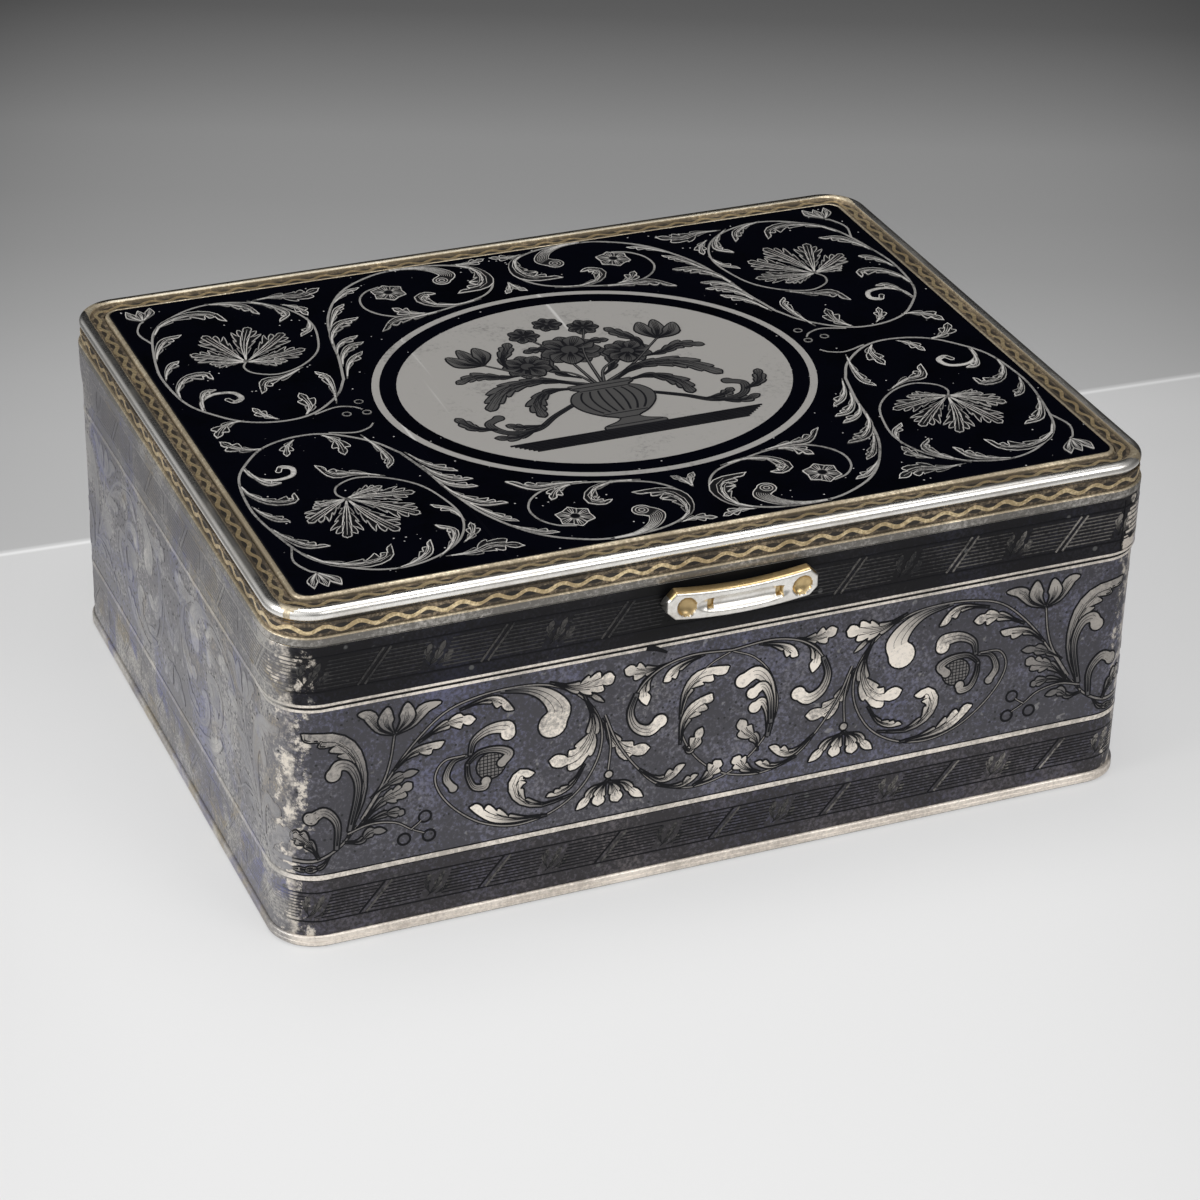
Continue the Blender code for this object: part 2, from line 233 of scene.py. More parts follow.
def shader_group(name: str, **inputs: float) -> Callable:
    """Turns a function that draws a shader node group into one that makes the group once and returns it.

    Args:
        name: the group's name.
        inputs: the default of each number input.

    Returns:
        A decorator for functions of a sketch, the Object coordinates and the input sockets.
    """

    def wrap(draw: Callable) -> Callable[[], bpy.types.NodeTree]:
        """The maker of one group."""

        def make() -> bpy.types.NodeTree:
            """The group's tree, with an output for each mask that is drawn."""
            if name in bpy.data.node_groups:
                return bpy.data.node_groups[name]
            tree = bpy.data.node_groups.new(name, "ShaderNodeTree")
            for label, value in inputs.items():
                socket = tree.interface.new_socket(label, in_out="INPUT", socket_type="NodeSocketFloat")
                socket.default_value = value
            sketch = NodeSketch(tree)
            given = sketch.add("NodeGroupInput").outputs
            masks = draw(sketch, sketch.add("ShaderNodeTexCoord").outputs["Object"], given)
            for label in masks:
                tree.interface.new_socket(label, in_out="OUTPUT", socket_type="NodeSocketFloat")
            leave = sketch.add("NodeGroupOutput")
            for label, value in masks.items():
                sketch.feed(leave.inputs[label], value)
            return tree

        return make

    return wrap


@shader_group("Patina", Scale=120.0, Cover=0.5, Grain=0.35)
def patina_group(sketch: NodeSketch, place: Socket, given: Given) -> Masks:
    """Cloudy tarnish at two scales, from 0 on clean metal to 1 on dull metal."""
    broad = sketch.noise(place, given["Scale"], 6.0, Roughness=0.62)
    fine = sketch.noise(place, sketch.times(given["Scale"], 22.0), 4.0, Roughness=0.7)
    total = sketch.plus(sketch.times(broad, 0.75), sketch.times(fine, given["Grain"]))
    middle = sketch.plus(sketch.times(given["Grain"], 0.5), 0.775)
    edge = sketch.minus(middle, given["Cover"])
    return {"Mask": sketch.ramp(total, sketch.minus(edge, PATINA_EDGE), sketch.plus(edge, PATINA_EDGE))}


@shader_group("Scratches", Scale=400.0, Density=0.3)
def scratch_group(sketch: NodeSketch, place: Socket, given: Given) -> Masks:
    """Fine straight scratches in three directions."""
    level = sketch.minus(0.78, sketch.times(given["Density"], 0.2))
    lines = 0.0
    for turn in (0.35, 1.5, 2.6):
        turned = (turn, turn * 0.6, turn)
        aim = sketch.add("ShaderNodeMapping", Vector=place, Rotation=turned, Scale=(1.0, 0.03, 1.0))
        grain = sketch.noise(aim.outputs[0], given["Scale"], 3.0, Roughness=0.75)
        lines = sketch.math("MAXIMUM", lines, sketch.ramp(grain, level, sketch.plus(level, 0.06)))
    return {"Height": sketch.minus(1.0, lines), "Mask": lines}


@shader_group("Specks", Scale=900.0, Share=0.1)
def speck_group(sketch: NodeSketch, place: Socket, given: Given) -> Masks:
    """Scattered pin-prick spots such as casting pits and dust."""
    cells = sketch.add("ShaderNodeTexVoronoi", Vector=place, Scale=given["Scale"], Randomness=1.0)
    spot = sketch.ramp(cells.outputs["Distance"], 0.16, 0.3, 1.0, 0.0)
    pick = sketch.add("ShaderNodeSeparateColor", Color=cells.outputs["Color"]).outputs[0]
    return {"Mask": sketch.times(spot, sketch.math("LESS_THAN", pick, given["Share"]))}


@shader_group("Corner wear", Amount=0.5)
def corner_wear_and_highlight_group(sketch: NodeSketch, place: Socket, given: Given) -> Masks:
    """Patches rubbed bare along the box's four upright corners, and a thin painted highlight along the
    outermost line of each.
    """
    x, y, z = sketch.axes(place)
    reach = sketch.plus(sketch.math("ABSOLUTE", x), sketch.math("ABSOLUTE", y))
    corner = sketch.ramp(reach, *CORNER_PATCHES)
    patches = sketch.noise(place, 620.0, 6.0, Roughness=0.75)
    edge = sketch.minus(0.85, sketch.times(given["Amount"], corner))
    bare = sketch.times(sketch.ramp(sketch.minus(patches, edge), 0.0, 0.12), corner)
    drift = sketch.times(sketch.minus(patches, 0.5), 0.7 * MM)
    lid_out = sketch.ramp(z, *LID_JOINT, 0.0, LID_STEP)
    # a painted highlight along the outermost line of each corner
    highlight_line = sketch.ramp(sketch.minus(sketch.plus(reach, drift), lid_out), *CORNER_HIGHLIGHT, 0.0, 0.75)
    return {"Mask": sketch.math("MAXIMUM", bare, highlight_line)}


@shader_group("Side rub", Amount=0.5)
def side_rub_and_sheen_group(sketch: NodeSketch, place: Socket, given: Given) -> Masks:
    """Where the side walls are, painted paler than the front as a sheen together with rubbing, with cool and
    warm clouds.
    """
    side = sketch.ramp(sketch.math("ABSOLUTE", sketch.axes(place)[0]), *SIDE_WALLS)
    masks = {"Mask": sketch.times(side, given["Amount"])}
    for label, scale, low in (("Cool", 62.0, 0.47), ("Warm", 95.0, 0.52)):
        cloud = sketch.noise(place, scale, 6.0, Roughness=0.6, Distortion=1.6)
        masks[label] = sketch.ramp(cloud, low, low + 0.12)
    return masks


@shader_group("Back tarnish", Amount=0.5)
def back_tarnish_and_shade_group(sketch: NodeSketch, place: Socket, given: Given) -> Masks:
    """Where the back of the lid is, darkened towards the hinge as tarnish together with painted shade."""
    drift = sketch.times(sketch.minus(sketch.noise(place, 260.0, 4.0), 0.5), 2.0 * MM)
    reach = sketch.plus(sketch.axes(place)[1], drift)
    return {"Mask": sketch.times(sketch.ramp(reach, *LID_BACK), given["Amount"])}


@shader_group("Grime", Amount=0.8)
def thumb_dirt_and_shade_group(sketch: NodeSketch, place: Socket, given: Given) -> Masks:
    """Darkening around the thumbpiece on the front of the lid's band: dirt together with painted shade."""
    x, y, z = sketch.axes(place)
    drift = sketch.times(sketch.minus(sketch.noise(place, 420.0, 4.0), 0.5), 6.0 * MM)
    near = sketch.ramp(sketch.plus(sketch.math("ABSOLUTE", x), drift), *THUMB_DARK_ASIDE, 1.0, 0.0)
    front = sketch.ramp(y, *THUMB_DARK_FRONT, 1.0, 0.0)
    above = sketch.ramp(z, *THUMB_DARK_ABOVE)
    return {"Mask": sketch.times(sketch.times(sketch.times(near, front), above), given["Amount"])}


@dataclass(frozen=True)
class MetalFinish:
    """A worn metal or niello surface."""

    name: str  # the material's name
    slot: Slot  # the record's slot that it belongs to
    colour: Colour  # where it is clean
    dull: Colour  # colour under tarnish
    metallic: float = 1.0  # how metallic the surface is
    gloss: float = 0.2  # roughness where it is clean
    haze: float = 0.15  # roughness added by tarnish
    cover: float = 0.4  # how much of the surface is dull
    scratches: float = 0.3  # density of fine scratches
    specks: float = 0.0  # share of the cells that hold a bright or dark speck
    speck_colour: Colour = (0.4, 0.39, 0.38)  # colour of the specks
    # whether a mesh attribute named shine fades the dull colour to the clean one
    shine_attribute: bool = False
    specular: float = 0.5  # strength of the mirror-like layer over what isn't metal
    corner_wear_and_highlight: float = 0.0  # how far bare silver shows on the box's upright corners, which also brings their painted highlight
    tint: Colour | None = None  # colour of broad stains, if it has any
    coat: float = 0.0  # strength of a glossy film, which glares when seen aslant
    grain: float = 0.35  # strength of the finest tarnish
    back_tarnish_and_shade: float = 0.0  # how dark the back of the lid is painted, as tarnish together with shade
    scuff: float = 0.0  # how far fine scratches show as pale lines
    mark: Colour = SCUFF_GREY  # colour of those scuffs
    side_rub_and_sheen: float = 0.0  # how far the side walls are painted pale, as a sheen together with rubbing
    thumb_dirt_and_shade: float = 0.0  # how dark the dirt and painted shade are around the thumbpiece
    speck_scale: float = 900.0  # number of cells for specks in a metre

    def material(self) -> bpy.types.Material:
        """The Blender material of this finish, made once.

        Returns:
            A Principled material with tarnish, scratches and specks on Object coordinates.
        """
        found = bpy.data.materials.get(self.name)
        if found:
            return found
        made = bpy.data.materials.new(self.name)
        made.use_nodes = True
        sketch = NodeSketch(made.node_tree)
        shader = made.node_tree.nodes["Principled BSDF"].inputs
        mask = sketch.group(patina_group, Cover=self.cover, Grain=self.grain)["Mask"]
        marks = sketch.group(scratch_group, Density=self.scratches)
        clean, dull = self.colour, self.dull
        if self.tint:
            stain = sketch.group(patina_group, Scale=STAIN_SCALE, Cover=STAIN_COVER)
            clean = sketch.mix(stain["Mask"], clean, self.tint)
        # the side walls are painted paler: a painted sheen together with rubbing
        if self.side_rub_and_sheen:
            rub_and_sheen = sketch.group(side_rub_and_sheen_group, Amount=self.side_rub_and_sheen)
            pale = sketch.mix(rub_and_sheen["Warm"], sketch.mix(rub_and_sheen["Cool"], RUB_AND_SHEEN_PALE, RUB_AND_SHEEN_COOL), RUB_AND_SHEEN_WARM)
            clean = sketch.mix(rub_and_sheen["Mask"], clean, pale)
            dull = sketch.mix(rub_and_sheen["Mask"], dull, RUB_AND_SHEEN_DULL)
        colour = sketch.mix(mask, clean, dull)
        if self.shine_attribute:
            shine = sketch.add("ShaderNodeAttribute", {"attribute_name": "shine"}).outputs["Fac"]
            colour = sketch.mix(shine, dull, colour)
        # the back of the lid is darkened: tarnish together with painted shade
        if self.back_tarnish_and_shade:
            colour = sketch.mix(
                sketch.group(back_tarnish_and_shade_group, Amount=self.back_tarnish_and_shade)["Mask"], colour, BACK_TARNISH_AND_SHADE)
        if self.scuff:
            colour = sketch.mix(sketch.times(marks["Mask"], self.scuff), colour, self.mark)
        # dirt together with painted shade around the thumbpiece
        if self.thumb_dirt_and_shade:
            colour = sketch.mix(sketch.group(thumb_dirt_and_shade_group, Amount=self.thumb_dirt_and_shade)["Mask"], colour, DIRT_AND_SHADE_BLACK)
        if self.specks:
            spots = sketch.group(speck_group, Share=self.specks, Scale=self.speck_scale)
            colour = sketch.mix(spots["Mask"], colour, self.speck_colour)
        shader["Metallic"].default_value = self.metallic
        # bare silver on worn corners, and a painted highlight along each corner
        if self.corner_wear_and_highlight:
            worn = sketch.group(corner_wear_and_highlight_group, Amount=self.corner_wear_and_highlight)["Mask"]
            colour = sketch.mix(worn, colour, BARE_AND_HIGHLIT_CORNER)
            sketch.feed(shader["Metallic"], sketch.math("MAXIMUM", sketch.times(worn, 0.6), self.metallic))
        sketch.feed(shader["Base Color"], colour)
        shader["Specular IOR Level"].default_value = self.specular
        shader["Coat Weight"].default_value = self.coat
        shader["Coat Roughness"].default_value = COAT_ROUGHNESS
        shader["Coat IOR"].default_value = COAT_IOR
        rough = sketch.plus(sketch.times(mask, self.haze), sketch.times(marks["Mask"], 0.12))
        sketch.feed(shader["Roughness"], sketch.plus(rough, self.gloss))
        bump = sketch.add("ShaderNodeBump", Strength=0.12, Distance=SCRATCH_DEPTH, Height=marks["Height"])
        sketch.feed(shader["Normal"], bump.outputs[0])
        return made


SILVER = MetalFinish("worn_silver", Slot.SILVER, (0.80, 0.77, 0.72), (0.42, 0.39, 0.35), gloss=0.2, haze=0.18)
BRIGHT_SILVER = MetalFinish(
    "bright_silver", Slot.SILVER, (0.93, 0.91, 0.87), (0.60, 0.56, 0.50), gloss=0.26, cover=0.32, back_tarnish_and_shade=0.8)
LINE_SILVER = MetalFinish(
    "line_silver", Slot.SILVER, (0.95, 0.87, 0.78), (0.50, 0.46, 0.41), 0.65, 0.36, 0.1, 0.4, grain=0.8,
    side_rub_and_sheen=0.8)
GILT = MetalFinish("fire_gilt", Slot.GILT, (0.86, 0.66, 0.34), (0.50, 0.37, 0.19), gloss=0.22, cover=0.45)
WORN_GILT = MetalFinish(
    "worn_gilt", Slot.GILT, (0.97, 0.79, 0.49), (0.46, 0.35, 0.20), 0.85, 0.30, cover=0.45, grain=0.9)
# pale gilding on top of the frame's fillets, whose paleness is partly a painted highlight
PALE_GILT_AND_HIGHLIGHT = MetalFinish(
    "pale_gilt", Slot.GILT, (0.80, 0.70, 0.52), (0.36, 0.30, 0.21), 0.75, 0.36, cover=0.5, grain=0.8)
GILT_INSIDE = MetalFinish(
    "gilt_lining", Slot.GILT, (0.92, 0.70, 0.33), (0.70, 0.50, 0.22), gloss=0.28, cover=0.3)
OXIDE = MetalFinish(
    "strip_oxide", Slot.GILT, (0.48, 0.375, 0.25), (0.085, 0.068, 0.05), 0.6, 0.36, cover=0.5, grain=0.9)
FOOT_SILVER = MetalFinish(
    "foot_silver", Slot.SILVER, (0.92, 0.84, 0.75), (0.56, 0.50, 0.44), 0.7, 0.38, 0.12, grain=0.6,
    side_rub_and_sheen=0.85)
# darker silver for the lower fillet's upright face: painted shade
FILLET_SHADE_SILVER = MetalFinish(
    "fillet_silver", Slot.SILVER, (0.60, 0.57, 0.53), (0.18, 0.17, 0.155), 0.7, 0.34, cover=0.5, grain=0.8)
# a darker silver that stands for shade: painted shade under the base and behind the thumbpiece's top
PAINTED_SHADE_SILVER = MetalFinish(
    "dark_silver", Slot.SILVER, (0.24, 0.225, 0.20), (0.06, 0.056, 0.05), 0.7, 0.34, cover=0.55, grain=0.6)
LID_NIELLO = MetalFinish(
    "lid_niello", Slot.BLACK_NIELLO, (0.0006, 0.0007, 0.0012), (0.001, 0.0012, 0.0030), 0.0, 0.16, 0.08, 0.5,
    0.35, 0.02, (0.42, 0.41, 0.40), specular=0.08, speck_scale=2600.0)
WALL_NIELLO = MetalFinish(
    "wall_niello", Slot.GREY_NIELLO, (0.20, 0.19, 0.195), (0.05, 0.048, 0.058), 0.35, 0.40, 0.14, 0.5, 0.6,
    0.26, (0.010, 0.010, 0.012), corner_wear_and_highlight=0.36, tint=(0.125, 0.128, 0.215), coat=0.2, grain=1.2,
    scuff=0.35, side_rub_and_sheen=0.75, speck_scale=1700.0)
BAND_NIELLO = MetalFinish(
    "band_niello", Slot.GREY_NIELLO, (0.030, 0.0275, 0.028), (0.008, 0.0075, 0.009), 0.2, 0.44, 0.14, 0.5,
    0.5, 0.03, (0.10, 0.10, 0.10), corner_wear_and_highlight=0.34, tint=(0.018, 0.019, 0.034), specular=0.22, grain=0.9,
    scuff=0.12, side_rub_and_sheen=0.75, thumb_dirt_and_shade=0.8)
FOOT_NIELLO = replace(
    BAND_NIELLO, name="foot_niello", colour=(0.125, 0.110, 0.110), dull=(0.032, 0.029, 0.032),
    tint=(0.075, 0.074, 0.115), grain=1.2, thumb_dirt_and_shade=0.0, specular=0.4)
STRIP_SHADE = MetalFinish("strip_shade", Slot.GILT, (0.05, 0.04, 0.03), (0.012, 0.010, 0.008), 0.3, 0.4)
STEEL = MetalFinish("hinge_steel", Slot.STEEL, (0.50, 0.49, 0.48), (0.30, 0.28, 0.26), gloss=0.3)
LID_SILVER = MetalFinish(
    "lid_inlay_silver", Slot.SILVER, (0.80, 0.775, 0.735), (0.003, 0.003, 0.005), 0.45, 0.42, 0.12, 0.28,
    shine_attribute=True, grain=0.6, specular=0.1)
WALL_SILVER = MetalFinish(
    "wall_inlay_silver", Slot.SILVER, (0.98, 0.90, 0.80), (0.105, 0.102, 0.106), 0.6, 0.42, 0.12, 0.3,
    shine_attribute=True, grain=0.6)
# paler inlay and lines for the sides and back: a painted sheen together with rubbing
RUBBED_SHEEN_SILVER = MetalFinish(
    "rubbed_inlay_silver", Slot.SILVER, (0.52, 0.50, 0.48), (0.27, 0.27, 0.285), 0.5, 0.46, 0.12, 0.4,
    shine_attribute=True, coat=0.2, grain=0.6, side_rub_and_sheen=0.55)
RUBBED_SHEEN_LINE = MetalFinish(
    "rubbed_line", Slot.BLACK_NIELLO, (0.24, 0.235, 0.25), (0.17, 0.17, 0.19), 0.3, 0.45, 0.1, side_rub_and_sheen=0.4)
OVAL_SILVER = MetalFinish(
    "oval_silver", Slot.SILVER, (0.42, 0.405, 0.385), (0.03, 0.03, 0.032), 0.35, 0.42, 0.1, 0.18, 0.55,
    shine_attribute=True, grain=0.6, scuff=0.6, mark=(0.72, 0.71, 0.69))
BAND_SILVER = MetalFinish(
    "band_inlay_silver", Slot.GREY_NIELLO, (0.45, 0.42, 0.38), (0.012, 0.012, 0.014), 0.5, 0.42, 0.12, 0.4,
    shine_attribute=True, grain=0.8, side_rub_and_sheen=0.75)
ENGRAVED = MetalFinish(
    "engraved_line", Slot.BLACK_NIELLO, (0.006, 0.006, 0.008), (0.010, 0.010, 0.012), 0.0, 0.45, 0.1,
    side_rub_and_sheen=0.7, specular=0.12)


@dataclass(frozen=True)
class Plan:
    """The rounded rectangle that the walls follow, seen from above."""

    half_width: float  # from the middle to the side walls' outer face
    half_depth: float  # from the middle to the front wall's outer face
    radius: float  # of the corners

    @property
    def flat_x(self) -> float:
        """Half the straight length of the front."""
        return self.half_width - self.radius

    @property
    def flat_y(self) -> float:
        """Half the straight length of a side."""
        return self.half_depth - self.radius

    @property
    def arc(self) -> float:
        """Length of one corner along the outer face."""
        return math.pi / 2 * self.radius

    @property
    def perimeter(self) -> float:
        """Length all round."""
        return 4 * (self.flat_x + self.flat_y + self.arc)

    def corner_spans(self) -> list[tuple[float, float]]:
        """Where the four corners start and end along the wall, from the front's middle to the right."""
        starts = [self.flat_x]
        for flat in (2 * self.flat_y, 2 * self.flat_x, 2 * self.flat_y):
            starts.append(starts[-1] + self.arc + flat)
        return [(start, start + self.arc) for start in starts]

    def place(self, along: Array, out: Array | float = 0.0) -> tuple[Array, Array]:
        """Maps a length along the wall to a point in plan.

        Args:
            along: metres from the front's middle, positive to the right seen from outside.
            out: metres outwards from the outer face.

        Returns:
            x and y arrays.
        """
        along = np.mod(np.asarray(along, float), self.perimeter)
        x, y, turn = np.zeros((3, *along.shape))
        lengths = (self.flat_x, 2 * self.flat_y, 2 * self.flat_x, 2 * self.flat_y, self.flat_x)
        corners = ((0, -1), (1, -1), (1, 1), (-1, 1), (-1, -1))
        start = 0.0
        for side, (length, corner) in enumerate(zip(lengths, corners)):
            heading = side * math.pi / 2
            travel = along - start
            here = (travel >= 0) & (travel <= length + 1e-12)
            x = np.where(here, corner[0] * self.flat_x + travel * math.cos(heading), x)
            y = np.where(here, corner[1] * self.flat_y + travel * math.sin(heading), y)
            turn = np.where(here, heading - math.pi / 2, turn)
            start += length
            if side < 4:
                travel = along - start
                here = (travel > 0) & (travel < self.arc)
                x = np.where(here, corners[side + 1][0] * self.flat_x, x)
                y = np.where(here, corners[side + 1][1] * self.flat_y, y)
                turn = np.where(here, heading - math.pi / 2 + travel / self.radius, turn)
                start += self.arc
        reach = self.radius + out
        return x + reach * np.cos(turn), y + reach * np.sin(turn)

    def stations(self, steps: int = CORNER_STEPS) -> Array:
        """Lengths along the wall at which what follows it needs a section: every step of each corner."""
        return np.concatenate([np.linspace(start, end, steps + 1) for start, end in self.corner_spans()])

    def path(self, along: Array, z: float, out: float) -> Array:
        """Points at lengths along the wall, at a height and a distance outside the outline."""
        x, y = self.place(along, out)
        return np.column_stack((x, y, np.full_like(x, z)))

    def ring(self, z: float, out: float) -> Array:
        """Points of a closed ring at a height and a distance outside the outline."""
        return self.path(self.stations(), z, out)

    def run(self, z: float, out: float, end: float) -> Array:
        """Points of an open path across the front, as far as a length along the wall on both sides."""
        right = self.stations()[self.stations() < end]
        return self.path(np.concatenate(([-end], -right[::-1], right, [end])), z, out)


def linked(name: str, data: bpy.types.ID) -> Piece:
    """A new object of some data, in the scene."""
    made = bpy.data.objects.new(name, data)
    bpy.context.scene.collection.objects.link(made)
    return made


def mesh_object(
        name: str, verts: Array | Sequence, faces: Iterable[Sequence[int]],
        materials: Sequence[bpy.types.Material], sharp: float = 32.0) -> Piece:
    """Makes a mesh object at the origin.

    Args:
        name: of the object.
        verts: places in metres.
        faces: vertex numbers of each face.
        materials: of the object's slots.
        sharp: angle in degrees past which an edge stays sharp.

    Returns:
        The object, linked to the scene and shaded smooth.
    """
    mesh = bpy.data.meshes.new(name)
    mesh.from_pydata([tuple(map(float, v)) for v in verts], [], [tuple(map(int, f)) for f in faces])
    mesh.update()
    for finish in materials:
        mesh.materials.append(finish)
    tidy_normals(mesh, sharp)
    return linked(name, mesh)


def tidy_normals(mesh: bpy.types.Mesh, sharp: float = 32.0) -> None:
    """Turns a closed mesh's faces outwards and shades it smooth between its sharp edges."""
    bm = bmesh.new()
    bm.from_mesh(mesh)
    bmesh.ops.recalc_face_normals(bm, faces=bm.faces)
    bm.to_mesh(mesh)
    bm.free()
    mesh.shade_smooth()
    mesh.set_sharp_from_angle(angle=math.radians(sharp))


def baked(obj: Piece, *tools: Piece) -> Piece:
    """Turns an object with modifiers into a plain mesh and removes the tools that it used.

    Args:
        obj: the object to bake.
        tools: helper objects to delete.

    Returns:
        The same object with its evaluated mesh and no modifiers.
    """
    graph = bpy.context.evaluated_depsgraph_get()
    plain = bpy.data.meshes.new_from_object(obj.evaluated_get(graph), depsgraph=graph)
    obj.modifiers.clear()
    obj.data = plain
    for tool in tools:
        bpy.data.objects.remove(tool, do_unlink=True)
    return obj


def joined_loops(loops: Sequence[Array], closed: bool) -> tuple[Array, list[list[int]]]:
    """Skins loops of equal length.

    Args:
        loops: arrays of points, each a closed loop.
        closed: whether the last loop joins the first, or both get an end face.

    Returns:
        Vertices and faces.
    """
    count, size = len(loops), len(loops[0])
    faces = []
    for k in range(count if closed else count - 1):
        low, high = k * size, (k + 1) % count * size
        for i in range(size):
            j = (i + 1) % size
            faces.append([low + i, low + j, high + j, high + i])
    if not closed:
        faces.append(list(range(size)))
        faces.append(list(range((count - 1) * size, count * size)))
    return np.concatenate(loops), faces


def skinned(
        name: str, loops: Sequence[Array], closed: bool, finishes: Sequence[MetalFinish],
        sharp: float = 32.0) -> Piece:
    """A mesh object skinned over loops."""
    verts, faces = joined_loops(loops, closed)
    return mesh_object(name, verts, faces, [finish.material() for finish in finishes], sharp)


def swept_ring(name: str, plan: Plan, profile: Sequence[Point], *finishes: MetalFinish) -> Piece:
    """A closed profile of (out, height) swept all round the plan."""
    return skinned(name, [plan.ring(z, out) for out, z in profile], True, finishes)


def stacked_plate(name: str, plan: Plan, profile: Sequence[Point], *finishes: MetalFinish) -> Piece:
    """A solid plate whose edge follows a profile of (out, height) from its underside up."""
    return skinned(name, [plan.ring(z, out) for out, z in profile], False, finishes)


def bar_along_x(name: str, section: Sequence[Point], half: float) -> Piece:
    """A section of (y, z) points run along X, as far to the left as to the right."""
    return skinned(name, [np.array([(x, y, z) for y, z in section]) for x in (-half, half)], False, ())


def oblong(inner: float, outer: float, low: float, high: float) -> list[Point]:
    """The four corners of a section."""
    return [(inner, low), (outer, low), (outer, high), (inner, high)]


def arc_points(centre: Point, radius: float, start: float, end: float, steps: int) -> list[Point]:
    """Points along an arc, with angles in degrees."""
    turns = np.radians(np.linspace(start, end, steps + 1))
    return [(centre[0] + radius * math.cos(t), centre[1] + radius * math.sin(t)) for t in turns]


def cut(target: Piece, tool: Piece) -> None:
    """Takes a tool's shape out of a target, with a modifier."""
    modifier = target.modifiers.new(tool.name, "BOOLEAN")
    modifier.object = tool
    modifier.operation = "DIFFERENCE"
    modifier.solver = "EXACT"


def soften(target: Piece, width: float, segments: int = 2) -> None:
    """Adds a small bevel to a target's sharp edges."""
    modifier = target.modifiers.new("edges", "BEVEL")
    modifier.width = width
    modifier.segments = segments
    modifier.limit_method = "ANGLE"
    modifier.angle_limit = math.radians(40)
    modifier.harden_normals = False


def present(obj: Piece, body: Body, slot: Slot, *nodes: str) -> Piece:
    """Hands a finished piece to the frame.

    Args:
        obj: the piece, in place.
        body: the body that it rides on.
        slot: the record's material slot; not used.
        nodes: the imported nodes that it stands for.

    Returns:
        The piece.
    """
    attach(obj, body.value)
    if nodes:
        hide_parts(*nodes)
    triangles = sum(len(face.vertices) - 2 for face in obj.data.polygons)
    LOG.info("%s rides on %s with %d triangles", obj.name, body.value, triangles)
    return obj


def paint_faces(obj: Piece, choose: Callable[[Vector, Vector], int]) -> None:
    """Gives each face the material slot that a rule picks from its middle and its normal."""
    for face in obj.data.polygons:
        face.material_index = choose(face.center, face.normal)


